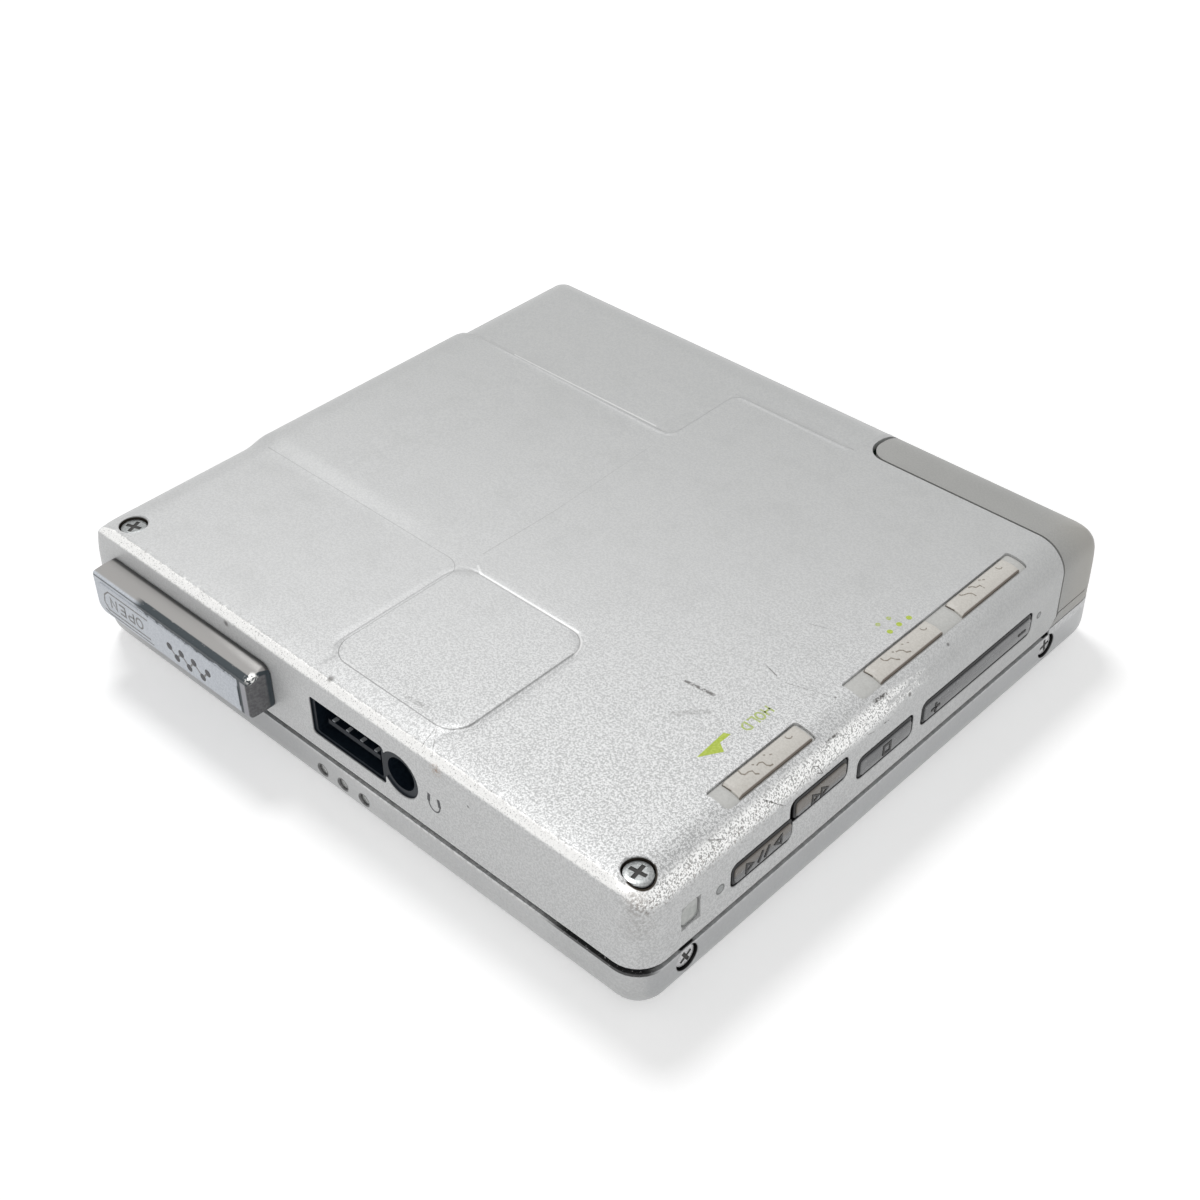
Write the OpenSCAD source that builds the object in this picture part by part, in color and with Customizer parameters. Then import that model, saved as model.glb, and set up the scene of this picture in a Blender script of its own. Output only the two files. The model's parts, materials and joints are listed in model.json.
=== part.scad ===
// Portable minidisc player, resting on its lid with the underside cover up.
// X runs along the hinge, +Y points to the hinge, +Z points out of the cover.
// The origin is the middle of the lid's outer face.

/* [Case] */
// Width along the hinge
case_w = 78.9; // [78:0.1:82]
// Depth from the hinge edge to the front face
case_d = 71.9; // [71.4:0.1:74]
// Height of the closed case
case_h = 16; // [15.9:0.1:17]
// Thickness of the metal skins
skin = 0.8; // [0.6:0.05:0.9]
// Plan radius of the case corners
corner_r = 3.2; // [2.4:0.1:3.6]
// Edge radius of the cover at the front
edge_front = 1; // [0.9:0.1:1.4]
// Edge radius of the cover along the control side
edge_right = 3.5; // [3:0.1:3.8]
// Edge radius of the cover along the two hidden sides
edge_wide = 6; // [5:0.1:6.2]
// Edge radius of the lid
edge_lid = 3; // [2.2:0.1:3.2]

/* [Seam and hinge] */
// Height of the lid's rim
lid_top = 5.4; // [5.2:0.05:5.45]
// Height of the cover's lower edge
cover_bottom = 6.1; // [6:0.05:6.3]
// Inset of the frame's edge that shows in the seam
seam_inset = 0.3; // [0.1:0.05:0.5]
// Distance of the hinge line from the back face
hinge_inset = 1.05; // [1:0.05:1.2]
// Height of the hinge line
hinge_z = 5.5; // [5.4:0.05:5.6]
// Radius of the hinge barrel
barrel_r = 0.85; // [0.8:0.01:0.88]
// Radius of the hinge pins
hinge_pin_r = 0.45; // [0.35:0.05:0.5]
// Running clearance between a pin and its bore
pin_gap = 0.05; // [0.03:0.01:0.08]

/* [Disc bay] */
// Width of the disc cartridge
disc_w = 72; // [71:0.1:72.2]
// Depth of the disc cartridge
disc_d = 68; // [67:0.1:68.2]
// Sheet thickness of the disc holder
holder_t = 0.4; // [0.3:0.05:0.5]
// Height of the holder's floor
holder_z = 1; // [0.95:0.05:1.1]
// Height of the holder's lips
holder_top = 6.7; // [6.6:0.05:6.8]

/* [Main frame and mechanism] */
// Underside of the frame plate
frame_z = 7; // [6.95:0.05:7.1]
// Thickness of the frame plate
frame_t = 0.8; // [0.6:0.05:0.85]
// Thickness of the mechanism's sheet
chassis_t = 0.6; // [0.5:0.05:0.8]
// Gap that the rubber dampers hold open
damper_gap = 0.4; // [0.35:0.05:0.5]
// Radius of the turntable
turntable_r = 5.2; // [4.5:0.1:5.6]
// Radius of the spindle shaft
spindle_r = 0.6; // [0.5:0.05:0.7]
// Radius of the spindle motor
motor_r = 9; // [8:0.1:9.2]
// Radius of the pickup's guide rods
rod_r = 0.8; // [0.6:0.05:0.9]
// Distance of each guide rod from the disc's centre line
rod_y = 11.5; // [11:0.1:11.8]
// Height of the guide rods
rod_z = 10.4; // [10.2:0.05:10.5]
// Travel of the pickup
pickup_travel = 15; // [12:0.1:15.2]
// Radius of the lead screw
screw_r = 1; // [0.8:0.05:1.1]
// Distance of the lead screw from the disc's centre line
screw_y = 16.4; // [16:0.1:16.8]
// Pitch radius of the screw gear
gear_r = 1.75; // [1.7:0.01:1.78]
// Pitch radius of the motor pinion
pinion_r = 0.7; // [0.68:0.01:0.72]

/* [Power] */
// Width of the flat battery
battery_w = 17; // [16:0.1:17.2]
// Length of the flat battery
battery_l = 67; // [64:0.1:67.2]
// Thickness of the flat battery
battery_t = 6; // [5.6:0.1:6.1]
// Room between the battery and the bracket behind the keys
battery_room = 1.9; // [1.5:0.1:2.2]

/* [Controls and sockets] */
// Travel of a pressed key
key_travel = 0.35; // [0.25:0.05:0.4]
// Gap round each key in its window
key_gap = 0.15; // [0.1:0.01:0.2]
// Travel of the open slider
slider_travel = 3; // [2:0.1:3.2]
// How far the open slider stands out of the front face
slider_out = 2.75; // [2.2:0.05:3]
// Radius of the headphone bore
jack_r = 1.8; // [1.75:0.05:1.9]
// Depth of the headphone bore
jack_l = 11.5; // [10:0.1:12]
// Middle of the headphone bore along the front face
jack_x = 9.6; // [9.4:0.1:9.8]
// Height of the headphone bore
jack_z = 10.4; // [10.2:0.05:10.5]

/* [Hidden] */
$fn = 48;

half_w = case_w / 2;
half_d = case_d / 2;
in_w = half_w - skin;
in_d = half_d - skin;
fit = 0.1;
cut = 0.01;
frame_top = frame_z + frame_t;
bracket_x = in_w - 2.75;
battery_x = bracket_x - battery_room - battery_w;

// Outline of the case at one height, as a rounded rectangle with four edge radii
ring_steps = 10;
corner_steps = 5;
corner_least = 0.6;

function edge_inset(r, depth) = depth >= r ? 0 : r - sqrt(max(0, r * r - (r - depth) * (r - depth)));

function corner_points(cx, cy, rx, ry, start) =
    [for (k = [0:corner_steps]) let (a = start + 90 * k / corner_steps) [cx + rx * cos(a), cy + ry * sin(a)]];

// edges holds the edge radii at -X, +X, -Y and +Y, and grow moves every side outward
function ring(edges, depth, grow, z) =
    let (ins = [for (r = edges) edge_inset(r + grow, depth)],
        x0 = -half_w - grow + ins[0], x1 = half_w + grow - ins[1],
        y0 = -half_d - grow + ins[2], y1 = half_d + grow - ins[3],
        rad = [for (v = ins) max(corner_least, corner_r + grow - v)],
        flat = concat(corner_points(x1 - rad[1], y1 - rad[3], rad[1], rad[3], 0),
            corner_points(x0 + rad[0], y1 - rad[3], rad[0], rad[3], 90),
            corner_points(x0 + rad[0], y0 + rad[2], rad[0], rad[2], 180),
            corner_points(x1 - rad[1], y0 + rad[2], rad[1], rad[2], 270)))
    [for (p = flat) [p[0], p[1], z]];

// Depths below the rounded face at which an outline is drawn, closer together near the face
function ring_depths(deepest, steps) = [for (k = [0:steps]) deepest * pow(1 - k / steps, 2)];

module skin_loft(rings) {
    n = len(rings[0]);
    last = len(rings) - 1;
    points = [for (r = rings) each r];
    sides = [for (i = [0:last - 1], k = [0:n - 1]) let (a = i * n + k, b = i * n + (k + 1) % n)
        each [[a, b, b + n], [a, b + n, a + n]]];
    bottom = [[for (k = [0:n - 1]) n - 1 - k]];
    top = [[for (k = [0:n - 1]) last * n + k]];
    // OpenSCAD wants the faces clockwise from outside
    polyhedron(points, [for (f = concat(bottom, top, sides)) [for (k = [len(f) - 1:-1:0]) f[k]]]);
}

cover_edges = [edge_wide, edge_right, edge_front, edge_wide];
lid_edges = [edge_lid, edge_lid, edge_lid, edge_lid];

// The cover's form from the height base up, grown by grow on its sides and top
module cover_form(base, grow) {
    top = case_h + grow;
    deepest = edge_wide + grow;
    depths = ring_depths(deepest, ring_steps);
    skin_loft([ring(cover_edges, deepest, grow, base), for (d = depths) ring(cover_edges, d, grow, top - d)]);
}

// The lid's form up to the height rim, grown by grow on its sides and bottom
lid_steps = 6;
module lid_form(rim, grow) {
    deepest = edge_lid + grow;
    depths = ring_depths(deepest, lid_steps);
    rings = [for (k = [len(depths) - 1:-1:0]) ring(lid_edges, depths[k], grow, depths[k] - grow)];
    skin_loft([each rings, ring(lid_edges, deepest, grow, rim)]);
}

module box(x0, x1, y0, y1, z0, z1) {
    translate([x0, y0, z0]) cube([x1 - x0, y1 - y0, z1 - z0]);
}

// Rounded rectangle from (x0, y0) to (x1, y1)
module pad(x0, x1, y0, y1, r) {
    translate([x0 + r, y0]) square([x1 - x0 - 2 * r, y1 - y0]);
    translate([x0, y0 + r]) square([x1 - x0, y1 - y0 - 2 * r]);
    for (x = [x0 + r, x1 - r], y = [y0 + r, y1 - r])
        translate([x, y]) circle(r);
}

// A rounded rectangle in the plane of the front face, from y0 to y1
module front_pad(x0, x1, z0, z1, r, y0, y1) {
    translate([0, y1, 0]) rotate([90, 0, 0]) linear_extrude(y1 - y0) pad(x0, x1, z0, z1, r);
}

// A rounded rectangle in the plane of the control side, from x0 to x1
module side_pad(y0, y1, z0, z1, r, x0, x1) {
    translate([x0, 0, 0]) rotate([90, 0, 90]) linear_extrude(x1 - x0) pad(y0, y1, z0, z1, r);
}

module rod_x(x0, x1, y, z, r) {
    translate([x0, y, z]) rotate([0, 90, 0]) cylinder(h = x1 - x0, r = r);
}

module rod_y_dir(y0, y1, x, z, r) {
    translate([x, y1, z]) rotate([90, 0, 0]) cylinder(h = y1 - y0, r = r);
}

module rod_z_dir(z0, z1, x, y, r) {
    translate([x, y, z0]) cylinder(h = z1 - z0, r = r);
}

// Hinge line and how far back the player's edge may reach under it
hinge_y = half_d - hinge_inset;
swing_y = hinge_y - barrel_r - fit;

// Hinge pieces along X on each side: barrel end, holder ear, lid ear
barrel_end = in_w - 4.9;
ear_gap = 0.15;
holder_ear_t = 0.6;
lid_ear_t = 0.6;
holder_ear_x = barrel_end + ear_gap;
lid_ear_x = holder_ear_x + holder_ear_t + ear_gap;
pin_deep = 1.8;
lid_back_top = hinge_z - barrel_r - ear_gap;
cover_back_z = hinge_z + barrel_r + fit;

// Lid
lid_screw_z = 3.9;
lid_screw_ys = [-half_d + 6.05, half_d - 9.45];
lid_screw_hole_r = 1.4;
lid_head_r = 1.25;
lid_head_t = 0.65;
lid_thread_r = 0.5;
rail_t = 1.5;
contact_xs = [-2.3, 0.67, 3.75];
contact_z = 3.2;
contact_r = 0.55;

// The rim stands higher beside the hinge on the control side
rise_top = cover_bottom + 0.05;
rise_y0 = half_d - 9.45;

module lid_shell() {
    color([0.72, 0.72, 0.72]) difference() {
        lid_form(rise_top, 0);
        lid_form(case_h, -skin);
        box(-case_w, case_w, -case_d, rise_y0, lid_top, case_h);
        box(-case_w, in_w - skin, rise_y0 - cut, case_d, lid_top, case_h);
        box(-case_w, case_w, swing_y, case_d, lid_back_top, case_h);
        for (y = lid_screw_ys) rod_x(-case_w, case_w, y, lid_screw_z, lid_screw_hole_r);
        for (x = contact_xs) rod_y_dir(-case_d, -half_d + 2 * skin, x, contact_z, contact_r + pin_gap);
    }
}

module lid_ears() {
    for (s = [-1, 1]) {
        x = s > 0 ? lid_ear_x : -lid_ear_x - lid_ear_t;
        rod_x(x, x + lid_ear_t, hinge_y, hinge_z, barrel_r);
        box(x, x + lid_ear_t, hinge_y - barrel_r, in_d - fit, lid_ear_foot, hinge_z - hinge_pin_r - fit);
    }
}

rail_z = skin + 0.15;
rail_top = lid_top - 0.2;
lid_ear_foot = 2.45;
front_rail_t = 0.7;

module lid_frame() {
    color([0.25, 0.25, 0.26]) difference() {
        union() {
            intersection() {
                lid_form(case_h, -skin - fit);
                union() {
                    for (s = [-1, 1]) {
                        x = s > 0 ? in_w - fit - rail_t : -in_w + fit;
                        box(x, x + rail_t, -half_d, swing_y - ear_gap, rail_z, rail_top);
                        box(x, x + rail_t, swing_y - ear_gap - cut, half_d, rail_z, lid_back_top - fit);
                    }
                    box(-half_w, half_w, -half_d, -in_d + fit + front_rail_t, rail_z, rail_top);
                    for (s = [-1, 1]) {
                        x = s > 0 ? lid_ear_x : -half_w;
                        box(x, x + half_w - lid_ear_x, hinge_y - barrel_r, half_d, lid_ear_foot - cut,
                            lid_back_top - fit);
                    }
                }
            }
            lid_ears();
        }
        rod_x(-half_w, half_w, hinge_y, hinge_z, hinge_pin_r);
        for (y = lid_screw_ys, s = [-1, 1]) {
            middle = s * (in_w - fit - rail_t / 2);
            rod_x(middle - rail_t / 2 - cut, middle + rail_t / 2 + cut, y, lid_screw_z, lid_thread_r);
        }
        // Room for the latch hook behind the front rail
        box(catch_x0 - hook_room, catch_x1 + slider_travel + hook_room, -in_d - cut,
            -in_d + fit + front_rail_t + cut, catch_z, rail_top + cut);
    }
}

// A cross slot in a screw head that faces along Z, cut down from z
module cross_slot(size, deep) {
    for (a = [0, 90]) rotate([0, 0, a])
        translate([-size / 2, -size / 8, -deep]) cube([size, size / 4, deep + cut]);
}

slot_deep = 0.35;

module lid_screws() {
    color([0.3, 0.3, 0.3]) for (y = lid_screw_ys, s = [-1, 1])
        translate([s * (in_w - fit), y, lid_screw_z]) rotate([0, 90 * s, 0]) difference() {
            union() {
                cylinder(h = lid_head_t, r = lid_head_r);
                translate([0, 0, -rail_t + fit]) cylinder(h = rail_t, r = lid_thread_r);
            }
            translate([0, 0, lid_head_t]) cross_slot(lid_head_r * 1.5, slot_deep);
        }
}

// Open slider, the neck that carries it, and its plate and hook inside
slider_x0 = -half_w + 4.85;
slider_x1 = slider_x0 + 26;
slider_z0 = frame_z + 0.2;
slider_z1 = case_h - 3.1;
slider_front_z = slider_z1 - 0.8;
slider_r = 1.3;
neck_x0 = slider_x0 + 4.6;
neck_x1 = neck_x0 + 14;
neck_z0 = slider_z0 + 1.4;
neck_z1 = slider_z1 - 1.5;
neck_gap = 0.2;
wall_gap = 0.08;
plate_x0 = neck_x0 - 1.4;
plate_x1 = neck_x1 + 4;
plate_t = 0.4;
hook_x0 = neck_x0 + 3.5;
hook_x1 = hook_x0 + 4.5;
hook_back = -in_d + 1.25;
hook_z = 3.7;
hook_t = 0.35;

// Catch on the lid and the hook that reaches down beside it
catch_x0 = hook_x0 + 0.5;
catch_x1 = hook_x1 + 1;
catch_z = hook_z - 0.1;
catch_top = rail_top;
catch_t = 0.33;
hook_room = 0.6;

module lid_catch() {
    color([0.75, 0.75, 0.75])
        box(catch_x0, catch_x1, -in_d, -in_d + catch_t, catch_z, catch_top);
}

pad_out = 0.55;

module charging_contacts() {
    color([0.8, 0.68, 0.4]) for (x = contact_xs)
        rod_y_dir(-in_d - pad_out, -in_d + fit, x, contact_z, contact_r);
}

module hinge_pins() {
    color([0.8, 0.8, 0.82]) for (s = [-1, 1]) {
        x = s > 0 ? barrel_end - pin_deep + fit : -lid_ear_x - lid_ear_t;
        rod_x(x, x + lid_ear_x + lid_ear_t - barrel_end + pin_deep - fit, hinge_y, hinge_z, hinge_pin_r);
    }
}

// Disc holder, which runs between the rails of the lid
riser_t = 0.3;
holder_side_gap = 0.5;
holder_out = in_w - fit - rail_t - holder_side_gap;
holder_in = holder_out - holder_t;
lip_w = 2.4;
lip_t = 0.3;
holder_stop = hinge_y - barrel_r - riser_t - 0.2;
holder_floor_y = -in_d + 1.55;
holder_lip_y = hinge_y - 3.9;
riser_top = holder_z + 1.6;
riser_x = holder_in - 0.05;
tab_at = 20;
tab_w = 6;
pane_x = disc_w / 3;
pane_y = disc_d / 4 - 1;
pane_w = 16;
pane_l = 20;

module disc_holder() {
    color([0.62, 0.63, 0.65]) difference() {
        union() {
            box(-holder_out, holder_out, holder_floor_y, holder_lip_y, holder_z, holder_z + holder_t);
            box(-riser_x, riser_x, holder_lip_y - cut, holder_stop + riser_t, holder_z, holder_z + holder_t);
            box(-riser_x, riser_x, holder_stop, holder_stop + riser_t, holder_z, riser_top);
            for (s = [-1, 1]) {
                xs = s > 0 ? holder_in : -holder_out;
                box(xs, xs + holder_t, holder_floor_y, holder_lip_y, holder_z, holder_top);
                xl = s > 0 ? holder_out - lip_w : -holder_out;
                box(xl, xl + lip_w, holder_floor_y, holder_lip_y, holder_top - lip_t, holder_top);
                xe = s > 0 ? holder_ear_x : -holder_ear_x - holder_ear_t;
                rod_x(xe, xe + holder_ear_t, hinge_y, hinge_z, barrel_r);
                box(xe, xe + holder_ear_t, holder_stop, hinge_y, riser_top - 0.4, hinge_z);
            }
            for (x = [-tab_at, tab_at])
                box(x - tab_w / 2, x + tab_w / 2, holder_stop, holder_stop + riser_t, holder_z,
                    lid_back_top - fit);
        }
        // Bores of the ears
        rod_x(-half_w, half_w, hinge_y, hinge_z, hinge_pin_r + pin_gap);
        // Windows that lighten the floor
        for (x = [-pane_x, pane_x], y = [-pane_y, pane_y]) translate([x, y, -cut])
            linear_extrude(holder_z + holder_t + 2 * cut)
                pad(-pane_w / 2, pane_w / 2, -pane_l / 2, pane_l / 2, 2);
    }
}

spring_t = 0.25;
disc_spring_xs = [-10, 10];
disc_spring_w = 2.4;
disc_spring_l = 40;

module disc_springs() {
    color([0.82, 0.82, 0.84]) for (x = disc_spring_xs)
        box(x - disc_spring_w / 2, x + disc_spring_w / 2, -disc_spring_l / 2, disc_spring_l / 2,
            holder_z + holder_t, holder_z + holder_t + spring_t);
}

// Relief pressed into the cover
band_rise = 0.6;
band_tilt = 0.9;
band_x = -3.5;
band_y0 = -14.6;
band_y1 = 15.9;
band_base = case_h - 5.5;
tab_x0 = -3.5;
tab_x1 = 14.2;
tab_y0 = -half_d + 2.95;
tab_y1 = -15.2;
tab_rise = 0.15;
tab_r = 2.6;
dip = 0.15;
dip_gap = 1.4;

module raised_band() {
    intersection() {
        translate([band_x, 0, case_h]) rotate([0, band_tilt, 0]) translate([-band_x, 0, -case_h])
            cover_form(cover_bottom, 0);
        translate([0, 0, band_base]) linear_extrude(case_h)
            pad(-half_w - band_rise, band_x, band_y0, band_y1, 1.5);
    }
}

module raised_tab() {
    translate([0, 0, case_h - skin / 2]) linear_extrude(skin / 2 + tab_rise)
        pad(tab_x0, tab_x1, tab_y0, tab_y1, tab_r);
}

// Door over the battery's end
door_x = battery_x - 2.6;
door_y = half_d - 8.25;
door_gap = 0.25;
door_left_gap = 0.45;
door_r = 2.2;
door_bottom = frame_z + 0.7;
door_pivot_x = door_x + 1.5;
door_pivot_y = hinge_y;
knuckle_r = 1;
door_pin_r = 0.4;
knuckle_z = frame_top + fit;
knuckle_top = case_h - 5.4;

// Plan area of the door, or with a gap the opening that it fits
module door_area(gap, left) {
    pad(door_x - left, case_w, door_y - gap, case_d, door_r + gap);
}

// Slots for the three slide knobs: first and last Y of the slot, then of the knob at rest
slot_x1 = half_w - 1.75;
slot_x0 = slot_x1 - 2.55;
knob_x0 = slot_x0 + 0.25;
knob_x1 = slot_x1 - 0.2;
hold_travel = 1.7;
preset_travel = 2.8;
knobs = [[-21.2, -11.2], [-1, 8.7], [12, 21.7]];
slots = [[knobs[0][0] - hold_travel - 0.2, -10.8], [knobs[1][0] - preset_travel - 0.3, 22.9]];
knob_flange_z = case_h - 1.5;
knob_flange_t = 0.38;
knob_flange_x0 = slot_x0 - 0.4;
knob_flange_x1 = slot_x1 - 0.8;
knob_top = case_h + 0.05;

// Windows of the keys on the control side: Y then Z
rewind_window = [-24.3, -15.9, 8, 10.75];
forward_window = [-16.3, -8, 9.95, 12.65];
stop_window = [-6.4, 2.2, 8.15, 10.9];
volume_window = [3.6, 22.4, 8.15, 11.05];
lamp_window = [-half_d + 5.2, -half_d + 7.5, 8.1, 10.75];
window_r = 0.7;

module window(w, grow) {
    side_pad(w[0] - grow, w[1] + grow, w[2] - grow, w[3] + grow, window_r + grow, in_w - 1, half_w + 1);
}

// Sockets on the front face
remote_x1 = jack_x - 2;
remote_x0 = remote_x1 - 10.5;
remote_z0 = jack_z - 2.45;
remote_z1 = jack_z + 2.2;
socket_ring_r = jack_r + 0.7;
socket_face = -half_d + 0.25;
cavity_l = 5;
socket_back = socket_face + jack_l + 0.7;
socket_back_flat = socket_face + cavity_l + 1.5;

module socket_outline(grow) {
    front_pad(remote_x0 - grow, remote_x1 + grow, remote_z0 - grow, remote_z1 + grow, 0.4, -case_d, -in_d + 1);
    rod_y_dir(-case_d, -in_d + 1, jack_x, jack_z, socket_ring_r + grow);
}

// Cover screws
cover_screw_y = -half_d + 2.55;
cover_screws_at = [[-half_w + 6.05, cover_screw_y], [half_w - 2.65, cover_screw_y]];
counter_r = 1.5;
head_r = 1.3;
thread_r = 0.6;
head_z = case_h - 1.15;
head_t = 0.75;
screw_l = 4;
boss_r = 1.7;

// Grey strip beside and behind the hinge, under the battery door
strip_z = rise_top + 0.15;
strip_top = frame_z + 0.55;
strip_slant = 1.4;
strip_gap = 0.15;

// The strip's profile seen from the control side, or the cut that it needs in the cover
module strip_profile(gap) {
    y0 = rise_y0 + fit - gap;
    low = gap > 0 ? 0 : strip_z;
    rotate([90, 0, 90]) linear_extrude(case_w)
        polygon([[y0, low], [y0, strip_z - gap], [y0 + strip_slant, strip_top + gap], [case_d, strip_top + gap],
            [case_d, low]]);
}

module hinge_cover() {
    color([0.5, 0.5, 0.49]) difference() {
        intersection() {
            cover_form(door_bottom - 2, 0);
            strip_profile(0);
        }
        cover_form(0, -skin);
        box(-case_w, door_x - door_left_gap + door_gap, -case_d, case_d, 0, case_h);
        // Clear of the lid as the case opens
        box(-case_w, case_w, swing_y, case_d, 0, cover_back_z);
        rod_z_dir(0, case_h, door_pivot_x, door_pivot_y, door_pin_r + pin_gap);
    }
}

module bottom_cover() {
    color([0.74, 0.74, 0.74]) difference() {
        union() {
            cover_form(cover_bottom, 0);
            raised_band();
            raised_tab();
        }
        cover_form(0, -skin);
        // Lower ground behind the raised band
        translate([0, 0, case_h - dip]) linear_extrude(case_h) {
            pad(-case_w, band_x + 0.1, band_y1, case_d, 1.4);
            pad(band_x - 4, door_x - dip_gap, door_y - dip_gap / 2, case_d, 1.4);
        }
        box(-case_w, case_w, swing_y, case_d, 0, cover_back_z);
        strip_profile(strip_gap);
        translate([0, 0, -cut]) linear_extrude(2 * case_h) door_area(door_gap, door_left_gap);
        for (s = slots) translate([0, 0, case_h - 2.1]) linear_extrude(case_h)
            pad(slot_x0, slot_x1, s[0], s[1], 0.3);
        for (w = [rewind_window, forward_window, stop_window, volume_window, lamp_window]) window(w, 0);
        socket_outline(0);
        front_pad(neck_x0 - neck_gap, neck_x1 + slider_travel + neck_gap, neck_z0 - neck_gap,
            neck_z1 + neck_gap, 0.3, -case_d, -in_d + 1);
        for (p = cover_screws_at) {
            rod_z_dir(head_z, 2 * case_h, p[0], p[1], counter_r);
            rod_z_dir(0, 2 * case_h, p[0], p[1], thread_r + fit);
        }
    }
}

module cover_screws() {
    color([0.35, 0.35, 0.36]) for (p = cover_screws_at) translate([p[0], p[1], head_z]) difference() {
        union() {
            cylinder(h = head_t, r = head_r);
            translate([0, 0, -screw_l]) cylinder(h = screw_l, r = thread_r);
        }
        translate([0, 0, head_t]) cross_slot(head_r * 1.5, slot_deep);
    }
}

// Main frame
ring_w = half_w - seam_inset;
ring_in = holder_out + 0.65;
chassis_x0 = -in_w + 1.35;
chassis_x1 = battery_x - 5;
chassis_y = half_d - 5.35;
window_x1 = chassis_x1 + 0.3;
window_y = chassis_y + 0.4;
post_r = 1.1;
post_x = battery_x - 3.1;
posts_at = [[post_x, -24], [post_x, 24], [-20, half_d - 3.55], [-6.5, -half_d + 3.05]];
damper_in = 2.4;
damper_x = chassis_x0 + damper_in + 0.3;
damper_y = chassis_y - damper_in;
damper_at = [[damper_x, -damper_y], [damper_x, damper_y], [chassis_x1 - damper_in, -19.5],
    [chassis_x1 - damper_in, damper_y]];
lug_r = 2.4;
damper_pin_r = 0.5;
damper_pin_h = 2;
board_z = case_h - 3;
board_t = 0.6;
pocket_y0 = -half_d + 4.95;
pocket_y1 = half_d - 11.95;

module main_frame() {
    color([0.2, 0.2, 0.21]) difference() {
        union() {
            // Edge that shows in the seam
            translate([0, 0, lid_top + 0.15]) linear_extrude(cover_bottom - lid_top - 0.2)
                pad(-ring_w, ring_w, -half_d + seam_inset, half_d - seam_inset, corner_r - seam_inset);
            translate([0, 0, lid_top + 0.15]) linear_extrude(frame_top - lid_top - 0.15)
                pad(-in_w + fit, in_w - fit, -in_d + fit, in_d - fit, corner_r - skin - fit);
            rod_x(-barrel_end, barrel_end, hinge_y, hinge_z, barrel_r);
            for (p = posts_at) rod_z_dir(frame_z, board_z, p[0], p[1], post_r);
            for (p = cover_screws_at) intersection() {
                rod_z_dir(frame_z, head_z - skin / 2, p[0], p[1], boss_r);
                cover_form(0, -skin - fit);
            }
        }
        // Bay of the disc holder under the plate
        box(-ring_in, ring_in, -in_d + 1, swing_y + cut, 0, frame_z);
        // Room for the raised rim of the lid
        box(in_w - fit, case_w, rise_y0 - strip_gap, swing_y + cut, 0, rise_top + strip_gap);
        box(in_w - 2 * strip_gap, case_w, in_d - corner_r + skin, swing_y + cut, 0, rise_top + strip_gap);
        // The back edge stays clear of the lid as the case opens
        difference() {
            box(-case_w, case_w, swing_y, case_d, 0, frame_z);
            box(-barrel_end, barrel_end, swing_y, hinge_y + 0.2, hinge_z, frame_z + cut);
            rod_x(-barrel_end, barrel_end, hinge_y, hinge_z, barrel_r);
        }
        // Window under the mechanism, with a lug for each damper
        difference() {
            box(-ring_in, window_x1, -window_y, window_y, frame_z - cut, frame_top + cut);
            for (p = damper_at) {
                rod_z_dir(frame_z - 1, frame_top + 1, p[0], p[1], lug_r);
                if (p[0] > 0) box(p[0], window_x1 + 1, p[1] - lug_r, p[1] + lug_r, frame_z - 1, frame_top + 1);
                else box(p[0] - lug_r, p[0] + lug_r, p[1] > 0 ? p[1] : -window_y - 1,
                    p[1] > 0 ? window_y + 1 : p[1], frame_z - 1, frame_top + 1);
            }
        }
        // Pocket that lightens the plate under the battery
        box(window_x1 + 6, ring_in - 4, pocket_y0, pocket_y1, frame_z - cut, frame_z + frame_t / 2);
        for (s = [-1, 1]) {
            x = s > 0 ? barrel_end - pin_deep : -barrel_end - cut;
            rod_x(x, x + pin_deep + cut, hinge_y, hinge_z, hinge_pin_r + pin_gap);
        }
        for (p = cover_screws_at) rod_z_dir(head_z - screw_l - fit, case_h, p[0], p[1], thread_r);
        rod_z_dir(frame_z - 1, frame_top + 1, door_pivot_x, door_pivot_y, door_pin_r);
        // Slots for the latch hook and the locating pins
        box(hook_x0 - neck_gap, hook_x1 + slider_travel + neck_gap, -in_d, hook_back + neck_gap, 0,
            frame_top + cut);
        for (p = locating_at) rod_z_dir(0, frame_top - 0.3, p[0], p[1], locating_r);
    }
    color([0.2, 0.2, 0.21]) for (p = damper_at)
        rod_z_dir(frame_top - cut, frame_top + damper_pin_h, p[0], p[1], damper_pin_r);
}

locating_x = disc_w / 2 - 10;
locating_y = -disc_d / 2 + 2.1;
locating_at = [[-locating_x, locating_y], [locating_x, locating_y]];
locating_r = 0.9;
locating_z = lid_top - 0.2;

module locating_pins() {
    color([0.8, 0.8, 0.82]) for (p = locating_at)
        rod_z_dir(locating_z, frame_top - 0.3, p[0], p[1], locating_r);
}

// Circuit board with its chips
board_x0 = -in_w + 2.75;
board_x1 = battery_x - 1.4;
board_y0 = -in_d + 1.15;
board_y1 = in_d - 2.25;

module circuit_board() {
    color([0.12, 0.38, 0.2]) translate([0, 0, board_z]) linear_extrude(board_t)
        difference() {
            pad(board_x0, board_x1, board_y0, board_y1, 1);
            translate([cover_screws_at[0][0], cover_screws_at[0][1]]) circle(boss_r + 0.4);
        }
}

// Chips as X, Y, width and depth
chip_list = [[-24, -16, 11, 11], [-8, -20, 9, 9], [4, -6, 8, 8], [-22, 6, 10, 8], [-5, 12, 9, 9], [6, 22, 6, 5],
    [-22, 24, 7, 6], [8, -26, 5, 4]];
chip_h = 1;

module chips() {
    color([0.1, 0.1, 0.11]) for (c = chip_list)
        translate([c[0] - c[2] / 2, c[1] - c[3] / 2, board_z + board_t]) cube([c[2], c[3], chip_h]);
}

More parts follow.
